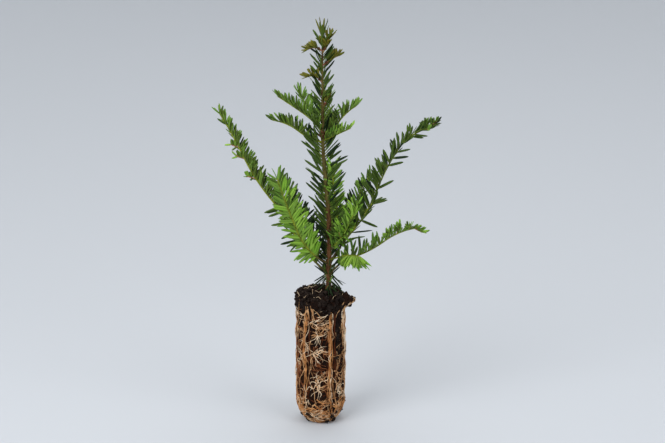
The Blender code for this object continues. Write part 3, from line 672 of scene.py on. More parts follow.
ROOT_TONES = {
    "cord": ((0.30, 0.105, 0.030), (0.64, 0.31, 0.115)),
    "dark": ((0.024, 0.006, 0.002), (0.12, 0.030, 0.009)),
    "brown": ((0.11, 0.030, 0.010), (0.33, 0.115, 0.042)),
    "tan": ((0.34, 0.155, 0.060), (0.70, 0.41, 0.20)),
    "pale": ((0.56, 0.37, 0.21), (0.90, 0.71, 0.50)),
}
root_rng = np.random.default_rng([SEED, 50])
root_shapes = {tone: [] for tone in ROOT_TONES}
for kind in WEAVE:
    root_shapes[kind.tone].append(weave(kind, root_rng))
root_nodes = [f"root_cord_{number + 1}" for number in range(RIB_COUNT)]
for tone, (dark, light) in ROOT_TONES.items():
    stands_for = root_nodes if tone == "cord" else ()
    finish = root_finish(f"root_{tone}", dark, light)
    put(f"roots_{tone}", joined(root_shapes[tone]), finish, stands_for)

# --- Fibres on the soil --------------------------------------------------------------------
# A few loose root fibres lie on the mound and over the crumbling rim.

FIBRE_COUNT = 12
FIBRE_LENGTH = (0.008, 0.018)
FIBRE_RADIUS = (0.00022, 0.00038)
FIBRE_STEPS = 24
FIBRE_BEND = 50.0  # degrees from foot to tip
FIBRE_LIFT = 0.0027
FIBRE_WAVE = 0.0008

fibre_rng = np.random.default_rng([SEED, 55])
share = np.linspace(0, 1, FIBRE_STEPS)[None]
reach = PLUG_RADIUS * np.sqrt(fibre_rng.uniform(0.10, 0.92, (FIBRE_COUNT, 1)))
start = fibre_rng.uniform(0, 360, (FIBRE_COUNT, 1))
turn = fibre_rng.uniform(0, 360, (FIBRE_COUNT, 1))
turn = np.radians(turn + fibre_rng.normal(0, FIBRE_BEND, (FIBRE_COUNT, 1)) * share)
stride = fibre_rng.uniform(*FIBRE_LENGTH, (FIBRE_COUNT, 1)) / FIBRE_STEPS
way_x = reach * np.cos(np.radians(start)) + np.cumsum(np.cos(turn), axis=1) * stride
way_y = reach * np.sin(np.radians(start)) + np.cumsum(np.sin(turn), axis=1) * stride
inside = np.minimum(1, 0.96 * PLUG_RADIUS / np.hypot(way_x, way_y))
way_x, way_y = way_x * inside, way_y * inside
lift = FIBRE_LIFT + FIBRE_WAVE * np.sin(9 * share + start)
fibre_ways = np.stack([way_x, way_y, mound_height(way_x, way_y) + lift], axis=-1)
thickness = fibre_rng.uniform(*FIBRE_RADIUS, (FIBRE_COUNT, 1)) * (1 - 0.5 * share)
fibre_finish = root_finish("soil_fibre", (0.40, 0.26, 0.15), (0.80, 0.62, 0.42))
put("soil_fibres", tubes(sweep(fibre_ways, thickness, ROOT_SIDES)), fibre_finish)

# --- Trunk ---------------------------------------------------------------------------------
# The young leader: red-brown bark with pale flecks low down, olive rind with ridges under
# each needle above, and swollen rings where boughs leave. It stands in the soil.

TRUNK_WAY = ((0.0084, PLUG_TOP), (0.0094, 0.200), (0.0028, 0.308), (0.0026, 0.408))
TRUNK_FOOT_RADIUS = 0.0025
TRUNK_TIP_RADIUS = 0.0006
TRUNK_TAPER = 1.6
TRUNK_FLARE = 0.0012
TRUNK_FLARE_HEIGHT = 0.0045
TRUNK_NODES = (0.168, 0.203, 0.306)
NODE_SWELL = 0.0006
NODE_HALF_HEIGHT = 0.004
TRUNK_SIDES = 32
TRUNK_ROWS = 700
TRUNK_SUNK = 0.003
GOLDEN_ANGLE = 137.5
SCAR_STEP = 0.0016
SCAR_START = 0.006
SCAR_RUN = (0.0006, 0.0034)  # above and below the needle's foot
SCAR_HALF_WIDTH = 26.0
SCAR_HEIGHT = 0.00022
FLAKE_HEIGHT = 0.00024
FLAKE_SIZES = (0.0011, 0.0006)
FLAKE_STRETCH = 0.22  # under 1, flakes are long up the stem
FLAKE_FADE = (0.15, 0.24)
GREEN_HEIGHTS = (0.212, 0.245)  # between them the bark turns from brown to olive


def trunk_x(height):
    """Sideways place of the axis: 3t^2 - 2t^3 from each station to the next."""
    spots, heights = np.array(TRUNK_WAY).T
    index = np.clip(np.searchsorted(heights, height) - 1, 0, len(heights) - 2)
    share = np.clip((height - heights[index]) / (heights[index + 1] - heights[index]), 0, 1)
    return spots[index] + (spots[index + 1] - spots[index]) * share * share * (3 - 2 * share)


def trunk_point(height):
    """Point of the trunk's axis at a height."""
    height = np.asarray(height, float)
    return np.stack([trunk_x(height), 0 * height, height], -1)


def trunk_radius(height):
    """Taper that quickens upwards, 1 - share^taper, an exponential flare at the soil and a bell
    at each ring of boughs."""
    foot, tip = TRUNK_WAY[0][1], TRUNK_WAY[-1][1]
    share = np.clip((height - foot) / (tip - foot), 0, 1)
    taper = 1 - share**TRUNK_TAPER
    radius = TRUNK_TIP_RADIUS + (TRUNK_FOOT_RADIUS - TRUNK_TIP_RADIUS) * taper
    radius = radius + TRUNK_FLARE * np.exp(-np.maximum(height - foot, -0.002) / TRUNK_FLARE_HEIGHT)
    for node in TRUNK_NODES:
        radius = radius + NODE_SWELL * bump(height, node, NODE_HALF_HEIGHT)
    return radius


def on_trunk(bearing, height, share):
    """Points round the trunk's axis at a share of its radius."""
    return trunk_point(height) + heading(bearing, 0.0) * (share * trunk_radius(height))[:, None]


def trunk_rings():
    """The trunk's skin over height and bearing. Its relief is a bell under each needle's
    foot, stretched down the stem, on a golden-angle spiral, and long flakes of bark that
    fade out up the stem."""
    height = np.linspace(TRUNK_WAY[0][1] - TRUNK_SUNK, TRUNK_WAY[-1][1], TRUNK_ROWS)[:, None]
    bearing = np.linspace(0, 360, TRUNK_SIDES, endpoint=False)[None]
    scar_height = np.arange(TRUNK_WAY[0][1] + SCAR_START, TRUNK_WAY[-1][1], SCAR_STEP)
    relief = np.zeros((TRUNK_ROWS, TRUNK_SIDES))
    for number, scar in enumerate(scar_height):
        below = (height - scar) / np.where(height > scar, *SCAR_RUN)
        around = angle_between(bearing, GOLDEN_ANGLE * number) / SCAR_HALF_WIDTH
        relief += np.exp(-(below**2) - around**2)
    level = heading(bearing, 0.0)
    skin = trunk_point(height[:, 0])[:, None] + level * trunk_radius(height)[..., None]
    old = np.interp(height, FLAKE_FADE, (1.0, 0.15))
    flakes = mottle(skin * [1, 1, FLAKE_STRETCH], FLAKE_SIZES[0], 61)
    flakes = flakes + 0.5 * mottle(skin, FLAKE_SIZES[1], 62)
    push = SCAR_HEIGHT * relief + FLAKE_HEIGHT * old * flakes
    return skin + level * push[..., None]


bark = surface(
    "young_bark",
    0.62,
    (
        ((0.036, 0.015, 0.006), (0.165, 0.073, 0.030), 0.0026, 0.46, 0.18, (1, 1, 0.3)),
        (None, (0.30, 0.18, 0.10), 0.0011, 0.68, 0.06, (1, 1, 0.5)),
    ),
    bump_height=0.00012,
)


def greening(material, dark, light, low, high):
    """Blends a material's base colour to blotches of olive between two heights."""
    tree = material.node_tree
    shader = tree.nodes["Principled BSDF"]
    below = shader.inputs["Base Color"].links[0].from_socket
    olive = blotched(tree, dark, light, 0.006, 0.5, 0.14, (1, 1, 0.4))
    place, parts, climb, blend = shader_nodes(tree, "TexCoord", "SeparateXYZ", "MapRange", "Mix")
    climb.inputs["From Min"].default_value = low
    climb.inputs["From Max"].default_value = high
    blend.data_type = "RGBA"
    link_chain(
        tree,
        (place.outputs["Object"], parts.inputs[0]),
        (parts.outputs["Z"], climb.inputs["Value"]),
        (climb.outputs["Result"], blend.inputs["Factor"]),
        (below, blend.inputs[6]),
        (olive.outputs["Colour"], blend.inputs[7]),
        (blend.outputs[2], shader.inputs["Base Color"]),
    )


greening(bark, (0.046, 0.028, 0.009), (0.110, 0.092, 0.026), *GREEN_HEIGHTS)
put("trunk_bark", tubes(trunk_rings()[None]), bark, ["trunk"])

# --- Boughs and twigs ----------------------------------------------------------------------
# Boughs leave the trunk in a low and a high ring and turn upwards as they grow. Their bare
# feet are brown-green, and the stretches that carry needles are smooth yellow-green rind
# with a ridge below each needle. The newest tips have pinkish stalks.

# A shoot leaves the trunk at its foot's height, and its rises and bearings run from foot to
# tip. Face is the bearing and rise that needles turn their upper sides to, and spread the
# angle from it to each rank. Lean is the angle from twig to needle, and bare the share of
# the foot without needles. Needles are their lengths at foot and tip and their step. Each
# twig has its share of the way and its turn about the stem. Tones are those of foot and tip.
Shoot = namedtuple(
    "Shoot", "name foot length rises bearings face spread lean bare needles twigs tones"
)
LOW_RING = (
    ("left", 0.1618, 0.202, (35, 61, 50, 64, 57), (172, 166), (-12, 20), 30, 72, 0.09,
     (0.0205, 0.0110, 0.0010), ((0.62, 180), (0.735, 180), (0.80, 180)), "deep leaf"),
    ("left_front", 0.1724, 0.119, (24, 66, 71), (222, 208), (-80, 22), 74, 52, 0.19,
     (0.0225, 0.0165, 0.0009), (), "fresh leaf"),
    ("right", 0.1724, 0.184, (58, 49, 70, 55, 8), (8, 14), (-142, 34), 50, 54, 0.13,
     (0.0235, 0.0132, 0.0014), ((0.60, -80), (0.92, 70), (0.94, -70), (0.98, 10)), "deep deep"),
    ("right_low", 0.1583, 0.114, (58, 23, 39, 12), (-24, -16), (-150, 60), 36, 60, 0.17,
     (0.0215, 0.0080, 0.0020), ((0.70, 20), (0.80, -30), (0.90, 40), (0.97, 180)), "leaf leaf"),
    ("right_dense", 0.1862, 0.069, (36, 55, 70), (-50, -38), (-120, 28), 52, 56, 0.12,
     (0.0185, 0.0150, 0.0010), ((0.35, -60), (0.60, 80)), "leaf fresh"),
    ("right_inner", 0.2015, 0.077, (40, 110, 88), (40, 60), (-75, 12), 70, 56, 0.12,
     (0.0165, 0.0120, 0.0019), (), "fresh fresh"),
    ("low_tuft", 0.1760, 0.049, (24, 20, -4), (-44, -50), (-80, -58), 40, 74, 0.52,
     (0.0185, 0.0160, 0.0006), (), "fresh fresh"),
    # the back boughs' foot tone is painted shadow, a near-black green for the shaded back of the
    # crown
    ("back_left", 0.1879, 0.092, (24, 42, 52), (136, 126), (-60, 30), 60, 60, 0.12,
     (0.0190, 0.0130, 0.0014), ((0.55, 90), (0.75, -90)), "shade deep"),
    ("back", 0.1790, 0.112, (32, 46, 56), (94, 86), (-90, 30), 60, 60, 0.12,
     (0.0190, 0.0130, 0.0014), ((0.55, 90), (0.75, -90)), "shade deep"),
    ("back_right", 0.1919, 0.098, (38, 42, 42), (50, 56), (-120, 34), 56, 60, 0.12,
     (0.0190, 0.0120, 0.0014), ((0.60, 90), (0.80, -90)), "shade leaf"),
)
HIGH_RING = (
    ("upper_left_low", 0.2998, 0.057, (12, 39, 10), (200, 192), (-25, 50), 34, 60, 0.08,
     (0.0165, 0.0110, 0.0011), (), "deep leaf"),
    ("upper_left", 0.3083, 0.060, (55, 32, 31), (160, 168), (-25, 40), 36, 60, 0.08,
     (0.0160, 0.0105, 0.0011), (), "leaf leaf"),
    ("upper_back_left", 0.3209, 0.057, (20, 22, 40), (118, 122), (-60, 30), 50, 60, 0.08,
     (0.0150, 0.0130, 0.0011), (), "leaf leaf"),
    ("upper_right", 0.3053, 0.046, (28, 53, 29), (18, 12), (-160, 42), 34, 60, 0.08,
     (0.0160, 0.0115, 0.0011), (), "deep leaf"),
    ("upper_right_low", 0.3014, 0.035, (21, 26, 25), (-35, -25), (-150, 60), 36, 60, 0.08,
     (0.0135, 0.0095, 0.0011), (), "leaf fresh"),
    ("upper_back", 0.3041, 0.055, (30, 20, 17), (75, 80), (-90, 40), 50, 60, 0.08,
     (0.0145, 0.0110, 0.0014), (), "deep leaf"),
)
NEW_TIPS = (
    ("tip_right_low", 0.3352, 0.0150, (54, 62, 50), (-12, -12), (-140, 50), 50, 60, 0.40,
     (0.0098, 0.0085, 0.00055), (), "bronze leaf"),
    ("tip_left_low", 0.3594, 0.0175, (57, 30, -30), (190, 184), (-60, 60), 50, 60, 0.40,
     (0.0098, 0.0085, 0.00055), (), "bronze bronze"),
    ("tip_right", 0.3762, 0.0185, (40, 33, 20), (8, 6), (-130, 60), 56, 60, 0.40,
     (0.0112, 0.0090, 0.00045), (), "bronze bronze"),
    ("tip_left", 0.3905, 0.0150, (40, 12, -34), (184, 180), (-60, 70), 50, 60, 0.40,
     (0.0098, 0.0085, 0.00055), (), "bronze bronze"),
    ("tip_right_high", 0.3885, 0.0190, (55, 77, 40), (-6, -6), (-120, 40), 50, 60, 0.30,
     (0.0120, 0.0100, 0.0007), (), "bronze bronze"),
)
SHOOTS = [Shoot(*row) for row in LOW_RING + HIGH_RING + NEW_TIPS]
TIP_NAMES = [row[0] for row in NEW_TIPS]
SHOOT_FOOT_RADIUS = 0.0006
SHOOT_RADIUS_GAIN = 0.0028
SHOOT_TIP_RADIUS = 0.00058
BARE_BOUGHS = [row[0] for row in LOW_RING if row[0] != "low_tuft"]
STEM_STEPS = 160
STEM_SIDES = 10
SIDE_TWIG_ANGLE = 50.0
SIDE_TWIG_LENGTH = 0.0085
SIDE_TWIG_RADIUS = 0.0005
SIDE_TWIG_STEPS = 24
SIDE_TWIG_BEND = 0.15  # share of its length that it bends towards the stem's direction
COLLAR_SWELL = 0.45
COLLAR_RUN = 0.004
RIDGE_STEP = 0.0026
RIDGE_SHARE = 0.06
ROUGH_SHARE = 0.10


def shoot_way(shoot, steps=STEM_STEPS):
    """Points along a shoot: running sum of even steps, whose rise and bearing turn evenly
    through the shoot's own."""
    share = (np.arange(steps) + 0.5) / steps
    rise = np.interp(share, np.linspace(0, 1, len(shoot.rises)), shoot.rises)
    bearing = np.interp(share, np.linspace(0, 1, len(shoot.bearings)), shoot.bearings)
    stride = heading(bearing, rise) * shoot.length / steps
    return trunk_point(shoot.foot) + np.vstack([np.zeros(3), np.cumsum(stride, axis=0)])


def along_way(way, share):
    """Points and directions at shares of a way's length, by linear interpolation."""
    spot = np.asarray(share) * (len(way) - 1)
    index = np.minimum(spot.astype(int), len(way) - 2)
    step = way[index + 1] - way[index]
    return way[index] + step * (spot - index)[..., None], unit(step)


def stem_rings(way, foot_radius, tip_radius, collar):
    """A stem's skin: even taper, a collar that fades out from its foot, and ridges that run
    down from each needle on alternate sides."""
    share = np.linspace(0, 1, len(way))
    run = share * np.linalg.norm(np.diff(way, axis=0), axis=1).sum()
    radius = foot_radius + (tip_radius - foot_radius) * share
    radius = radius * (1 + COLLAR_SWELL * np.exp(-run / COLLAR_RUN) * collar)
    rings = sweep(way[None], radius[None], STEM_SIDES)[0]
    turn = 2 * np.pi * np.arange(STEM_SIDES) / STEM_SIDES
    ridge = np.sin(2 * np.pi * run[:, None] / RIDGE_STEP + 2 * turn[None]) * RIDGE_SHARE
    rough = ROUGH_SHARE * mottle(rings, 0.0022, 71)
    return way[:, None] + (rings - way[:, None]) * (1 + ridge + rough)[..., None]


def upper_face(shoot, along):
    """Direction that the upper sides of needles turn to, square to the twig."""
    return square_to(heading(*shoot.face), along)


def turned(vectors, axis, angle):
    """Vectors square to an axis, turned about it: v cos a + (axis x v) sin a."""
    return vectors * np.cos(angle) + np.cross(axis, vectors) * np.sin(angle)


def side_twig_ways(shoot, way):
    """Short new twigs. Each leaves the stem at a share of its length, turned about the stem
    by an angle from the upper face, and bends towards the stem's own direction."""
    twigs = []
    for share, turn in shoot.twigs:
        foot, along = along_way(way, share)
        face = upper_face(shoot, along)
        outward = turned(face, along, math.radians(turn))
        lean = math.radians(SIDE_TWIG_ANGLE)
        steps = np.linspace(0, 1, SIDE_TWIG_STEPS)[:, None]
        lead = along * math.cos(lean) + outward * math.sin(lean)
        bend = SIDE_TWIG_BEND * along * steps**2
        twigs.append(foot + (lead * steps + bend) * SIDE_TWIG_LENGTH)
    return twigs


bough_bark = surface(
    "bough_bark",
    0.55,
    (
        ((0.060, 0.040, 0.016), (0.140, 0.115, 0.035), 0.004, 0.5, 0.2),
        (None, (0.20, 0.12, 0.06), 0.0015, 0.66, 0.08),
    ),
    bump_height=0.00008,
)
green_rind = surface(
    "green_rind",
    0.45,
    (
        ((0.080, 0.110, 0.008), (0.260, 0.300, 0.025), 0.006, 0.46, 0.2),
        (None, (0.16, 0.09, 0.03), 0.004, 0.70, 0.06),
    ),
)
new_rind = surface(
    "new_rind",
    0.45,
    (
        ((0.22, 0.070, 0.040), (0.42, 0.20, 0.12), 0.003, 0.5, 0.2),
        (None, (0.20, 0.16, 0.03), 0.004, 0.60, 0.10),
    ),
)

ways = {shoot.name: shoot_way(shoot) for shoot in SHOOTS}
twig_ways = {shoot.name: side_twig_ways(shoot, ways[shoot.name]) for shoot in SHOOTS}
green_stems, new_stems = [], []
for shoot in SHOOTS:
    way = ways[shoot.name]
    foot_radius = SHOOT_FOOT_RADIUS + SHOOT_RADIUS_GAIN * shoot.length
    start = 0
    if shoot.name in BARE_BOUGHS:
        start = round(shoot.bare * STEM_STEPS)
        end_radius = foot_radius + (SHOOT_TIP_RADIUS - foot_radius) * shoot.bare
        rings = stem_rings(way[: start + 3], foot_radius, end_radius, 1.0)
        bare_shape = tubes(rings[None])
        put(f"bough_{shoot.name}_bark", bare_shape, bough_bark, [f"bough_{shoot.name}"])
        foot_radius = end_radius
    stem = tubes(stem_rings(way[start:], foot_radius, SHOOT_TIP_RADIUS, start == 0)[None])
    (new_stems if shoot.name in TIP_NAMES else green_stems).append(stem)
    for twig in twig_ways[shoot.name]:
        new_stems.append(tubes(stem_rings(twig, SIDE_TWIG_RADIUS, SHOOT_TIP_RADIUS, 0)[None]))
old_masses = [f"foliage_{shoot.name}" for shoot in SHOOTS if shoot.name not in TIP_NAMES]
put("twigs", joined(green_stems), green_rind, old_masses)
put("new_twigs", joined(new_stems), new_rind, [f"foliage_{name}" for name in TIP_NAMES])

# --- Needles -------------------------------------------------------------------------------
# Flat leathery needles with a raised rib, a short stalk and a sharp tip, dark above and pale
# below. They stand in two ranks along the shoots and all round the leader, and go from dark
# green in old sprays to yellow-green in young ones and olive-bronze in the newest tips. The
# darkest, near-black tone is painted shadow: it is given to the needles of the back boughs and
# low on the leader, where shadow falls, and to a few needles at random.

NEEDLE_STATIONS = np.array([0.0, 0.07, 0.22, 0.50, 0.78, 0.93, 1.0])
NEEDLE_BREADTH = np.array([0.32, 0.66, 1.0, 1.0, 0.92, 0.56, 0.06])
NEEDLE_SECTION = np.array(
    [[1.0, 0.0], [0.45, 0.30], [0.0, 0.62], [-0.45, 0.30], [-1.0, 0.0], [0.0, -0.55]]
)
NEEDLE_RIB = np.array([0.0, 0.2, 1.0, 0.2, 0.0, 0.8])
NEEDLE_WIDTH = 0.0027
NEEDLE_FULL_LENGTH = 0.017
NEEDLE_WIDTH_LIMITS = (0.82, 1.05)
NEEDLE_THICKNESS = 0.0006
NEEDLE_CURL = (0.04, 0.05)  # mean and scatter, as shares of the length
NEEDLE_SICKLE = 0.045
NEEDLE_GAIN = 1.2  # needles for each step of a shoot's own spacing
TIP_LEAN = 28.0
ANGLE_SCATTER = 11.0
FACE_SCATTER = 0.30
STEP_SCATTER = 0.35  # share of the step that a needle may be off its place
SIZE_SCATTER = (0.84, 1.10)
FIRST_SHARE = (0.12, 0.8)  # the first 12% of needles grow from 0.8 of their length
DARKER_SHARE = 0.22
STRAY_SHARE = 0.10  # needles of long shoots that leave their rank for the lower side
LONG_SHOOT = 0.115
STRAY_TURN = (70.0, 120.0)
TWIG_NEEDLES = (0.0080, 0.0068, 0.0008)
TWIG_BARE = 0.2
FIRST_NEEDLE = 0.9  # share of a shoot's bare foot at which its needles start
# the first tone is painted shadow, for needles where shadow falls
TONES = ("shade", "deep", "leaf", "fresh", "bronze")
TWIG_TONES = {"deep": "deep leaf", "leaf": "leaf fresh", "fresh": "leaf fresh"}  # by the tip tone


def blades(feet, along, face, length, width, rng):
    """Needles: stations s along the blade times the six points of its section. A point is
    foot + L (s along + curl s^2 face + sickle s^2 across), plus the breadth at s times
    (x W/2 across + y T upward)."""
    count = len(feet)
    across = unit(np.cross(along, face))
    upward = np.cross(across, along)
    curl = rng.normal(*NEEDLE_CURL, (count, 1, 1))
    sickle = rng.normal(0.0, NEEDLE_SICKLE, (count, 1, 1))
    s = NEEDLE_STATIONS[None, :, None]
    bend = (curl * upward[:, None] + sickle * across[:, None]) * s**2
    spine = feet[:, None] + (along[:, None] * s + bend) * length[:, None, None]
    breadth = NEEDLE_BREADTH[None, :, None, None]
    x, y = NEEDLE_SECTION.T[:, None, None, :, None]
    flat = across[:, None, None] * x * width[:, None, None, None] / 2
    thick = upward[:, None, None] * y * NEEDLE_THICKNESS
    return spine[:, :, None] + (flat * breadth + thick * breadth**0.5)


def needle_width(length):
    """Short needles are a little narrower, in proportion to their length within limits."""
    return NEEDLE_WIDTH * np.clip(length / NEEDLE_FULL_LENGTH, *NEEDLE_WIDTH_LIMITS)


def ranks(shoot, way, lengths, start, rng):
    """Two ranks of needles along a way: alternate sides, swept from the way by the forward
    angle, spread from the upper face, and shortening from foot to tip. Each blade lies flat
    along the twig, with its upper side turned to the other rank."""
    run = np.linalg.norm(np.diff(way, axis=0), axis=1).sum() * (1 - start)
    count = round(NEEDLE_GAIN * run / lengths[2])
    number = np.arange(count)
    share = (number + 0.5 + rng.uniform(-STEP_SCATTER, STEP_SCATTER, count)) / count
    feet, along = along_way(way, np.minimum(start + (1 - start) * share, 0.995))
    face = upper_face(shoot, along)
    side = np.where(number % 2, 1, -1)
    stray = rng.uniform(0, 1, count) < STRAY_SHARE * (shoot.length > LONG_SHOOT)
    turn = shoot.spread + rng.normal(0, ANGLE_SCATTER, count)
    turn = np.radians(side * (turn + stray * rng.uniform(*STRAY_TURN, count)))[:, None]
    sweep_mean = shoot.lean + (TIP_LEAN - shoot.lean) * share**3
    lean = np.radians(sweep_mean + rng.normal(0, ANGLE_SCATTER, count))[:, None]
    outward = turned(face, along, turn)
    lead = along * np.cos(lean) + outward * np.sin(lean)
    upper = unit(side[:, None] * np.cross(lead, along)) + rng.normal(0, FACE_SCATTER, (count, 3))
    size = lengths[0] + (lengths[1] - lengths[0]) * share**1.2
    size = size * np.interp(share, (0, FIRST_SHARE[0]), (FIRST_SHARE[1], 1))
    size = size * rng.uniform(*SIZE_SCATTER, count)
    return feet, unit(lead), unit(upper), size, share


def deal(rings, share, tones, rng):
    """Deals needles out by tone: the tip's tone with a chance that grows along the shoot,
    and a few from the next darker tone."""
    foot_tone, tip_tone = tones.split()
    at_tip = rng.uniform(0, 1, len(share)) < share**1.5
    darker = rng.uniform(0, 1, len(share)) < DARKER_SHARE
    names = np.where(at_tip, TONES.index(tip_tone), TONES.index(foot_tone))
    green = (names > 0) & (names < TONES.index("bronze"))
    names = np.where(darker & green, names - 1, names)
    for index, tone in enumerate(TONES):
        grown[tone].append(rings[names == index])


grown = {tone: [] for tone in TONES}
needle_rng = np.random.default_rng([SEED, 80])
for shoot in SHOOTS:
    sets = [(ways[shoot.name], shoot.needles, shoot.bare * FIRST_NEEDLE, shoot.tones)]
    sets += [
        (twig, TWIG_NEEDLES, TWIG_BARE, TWIG_TONES[shoot.tones.split()[1]])
        for twig in twig_ways[shoot.name]
    ]
    for twig, lengths, start, tones in sets:
        feet, along, face, size, share = ranks(shoot, twig, lengths, start, needle_rng)
        rings = blades(feet, along, face, size, needle_width(size), needle_rng)
        deal(rings, share, tones, needle_rng)

# A stretch of the leader's needles. Flat is their scatter round two ranks, in degrees, roll
# a blade's turn about its own length, and width its share of a full needle's.
Whorl = namedtuple("Whorl", "span step length rise flat roll width tones")
WHORLS = (  # needles of the leader, stretch by stretch
    # the leader's foot and its crowded stretch among the boughs' feet take the painted-shadow tone
    Whorl((0.146, 0.163), 0.0008, 0.0190, -38.0, 60.0, 30, 0.62, "shade shade"),
    Whorl((0.150, 0.164), 0.0016, 0.0110, 66.0, 60.0, 0, 0.75, "leaf leaf"),
    Whorl((0.158, 0.208), 0.0006, 0.0185, 40.0, 60.0, 40, 0.70, "shade shade"),
    Whorl((0.206, 0.300), 0.0015, 0.0265, 44.0, 34.0, 75, 0.90, "deep deep"),
    Whorl((0.300, 0.400), 0.0013, 0.0180, 48.0, 38.0, 60, 0.90, "deep deep"),
    Whorl((0.4010, 0.4090), 0.0006, 0.0165, 64.0, 60.0, 0, 0.80, "deep bronze"),
)
HIGHEST_NEEDLE = 0.4078
NEEDLE_SUNK = 0.7  # share of the trunk's radius at which needles start
RISE_SCATTER = 5.0
ROLL_SCATTER = 30.0
for stretch in WHORLS:
    low, high = stretch.span
    count = round((high - low) / stretch.step)
    number = np.arange(count)
    share = (number + 0.5) / count
    height = np.minimum(low + (high - low) * share, HIGHEST_NEEDLE)
    bearing = 180.0 * number + needle_rng.normal(0, stretch.flat, count)
    rise = stretch.rise + needle_rng.normal(0, RISE_SCATTER, count)
    feet = on_trunk(bearing, height, NEEDLE_SUNK)
    along = heading(bearing, rise)
    face = heading(bearing + 180.0, 90.0 - rise)
    roll = np.where(number % 2, -1, 1) * stretch.roll + needle_rng.normal(0, ROLL_SCATTER, count)
    face = turned(face, along, np.radians(roll)[:, None])
    size = stretch.length * needle_rng.uniform(0.82, 1.08, count)
    width = stretch.width * needle_width(size)
    rings = blades(feet, along, face, size, width, needle_rng)
    deal(rings, share, stretch.tones, needle_rng)


def needle_tint_group():
    """Node group: a needle's colour from its own marks, the attribute blade, which holds its
    random tint, the way along it and the rise to its rib. The tint blends dark and light,
    the stalk end turns to the stalk's colour and the rib is lightened."""
    group = bpy.data.node_groups.new("needle_tint", "ShaderNodeTree")
    for name in ("Dark", "Light", "Stalk"):
        group.interface.new_socket(name, in_out="INPUT", socket_type="NodeSocketColor")
    group.interface.new_socket("Colour", in_out="OUTPUT", socket_type="NodeSocketColor")
    given, made = group.nodes.new("NodeGroupInput"), group.nodes.new("NodeGroupOutput")
    marks, parts, stalk, rib = shader_nodes(group, "Attribute", "SeparateXYZ", "MapRange", "MapRange")
    marks.attribute_name = "blade"
    tinted, stalked, ribbed = shader_nodes(group, "Mix", "Mix", "Mix")
    for blend in (tinted, stalked, ribbed):
        blend.data_type = "RGBA"
    for name, value in (("From Max", 0.22), ("To Min", 0.8), ("To Max", 0.0)):
        stalk.inputs[name].default_value = value
    rib.inputs["From Min"].default_value = 0.5
    rib.inputs["To Max"].default_value = 0.35
    link_chain(
        group,
        (marks.outputs["Vector"], parts.inputs[0]),
        (parts.outputs["X"], tinted.inputs["Factor"]),
        (given.outputs["Dark"], tinted.inputs[6]),
        (given.outputs["Light"], tinted.inputs[7]),
        (parts.outputs["Y"], stalk.inputs["Value"]),
        (stalk.outputs["Result"], stalked.inputs["Factor"]),
        (tinted.outputs[2], stalked.inputs[6]),
        (given.outputs["Stalk"], stalked.inputs[7]),
        (parts.outputs["Z"], rib.inputs["Value"]),
        (rib.outputs["Result"], ribbed.inputs["Factor"]),
        (stalked.outputs[2], ribbed.inputs[6]),
        (given.outputs["Light"], ribbed.inputs[7]),
        (ribbed.outputs[2], made.inputs["Colour"]),
    )
    return group


needle_tint = needle_tint_group()
NEEDLE_COLOURS = {
    # painted shadow: near-black green for the needles at the back and low in the crown
    "shade": ((0.008, 0.019, 0.007), (0.020, 0.040, 0.012)),
    "deep": ((0.030, 0.060, 0.010), (0.084, 0.140, 0.022)),
    "leaf": ((0.086, 0.190, 0.024), (0.190, 0.330, 0.050)),
    "fresh": ((0.155, 0.335, 0.026), (0.300, 0.500, 0.070)),
    "bronze": ((0.080, 0.078, 0.008), (0.210, 0.195, 0.024)),
}
STALK = (0.20, 0.24, 0.04)
UNDERSIDE = (0.15, 0.20, 0.03)
UNDERSIDE_SHARE = 0.30


def needle_skin(name, dark, light, roughness):
    """Leathery needle surface in one tone."""
    made = bpy.data.materials.new(name)
    made.use_nodes = True
    tree = made.node_tree
    shader = tree.nodes["Principled BSDF"]
    shader.inputs["Roughness"].default_value = roughness
    shader.inputs["Specular IOR Level"].default_value = 0.10
    tint = tree.nodes.new("ShaderNodeGroup")
    tint.node_tree = needle_tint
    for socket, colour in (("Dark", dark), ("Light", light), ("Stalk", STALK)):
        tint.inputs[socket].default_value = (*colour, 1.0)
    tree.links.new(tint.outputs["Colour"], shader.inputs["Base Color"])
    return made


tone_nodes = {
    tone: [f"foliage_{shoot.name}" for shoot in SHOOTS if shoot.tones.split()[0] == tone]
    for tone in TONES
}
tone_nodes["deep"] += [
    f"leader_{part}_{half}" for part in ("foot", "middle", "upper") for half in ("front", "back")
]
tone_nodes["bronze"].append("leader_bud")
for tone in TONES:
    rings = np.concatenate(grown[tone])
    dark, light = NEEDLE_COLOURS[tone]
    above = needle_skin(f"needle_{tone}", dark, light, 0.46)
    pale = [
        tuple(UNDERSIDE_SHARE * u + (1 - UNDERSIDE_SHARE) * c for u, c in zip(UNDERSIDE, colour))
        for colour in (dark, light)
    ]
    below = needle_skin(f"needle_{tone}_underside", *pale, 0.55)
    piece = put(f"needles_{tone}", tubes(rings), above, tone_nodes[tone])
    piece.data.materials.append(below)
    count, rows, sides = rings.shape[:3]
    quads = count * (rows - 1) * sides
    under = np.zeros(len(piece.data.polygons), np.int32)
    under[:quads] = np.arange(quads) % sides >= sides - 2
    piece.data.polygons.foreach_set("material_index", under)
    marks = np.zeros((count, rows, sides, 3), np.float32)
    marks[..., 0] = needle_rng.beta(1.3, 1.3, count)[:, None, None]
    marks[..., 1] = NEEDLE_STATIONS[None, :, None]
    marks[..., 2] = NEEDLE_RIB[None, None, :]
    blade = piece.data.attributes.new("blade", "FLOAT_VECTOR", "POINT")
    blade.data.foreach_set("vector", marks.ravel())

# --- Bud scales ----------------------------------------------------------------------------
# Each year's growth keeps the small brown pointed scales of the bud that it came from. They
# sit in a collar round the trunk where boughs leave it and at the feet of the newest twigs.

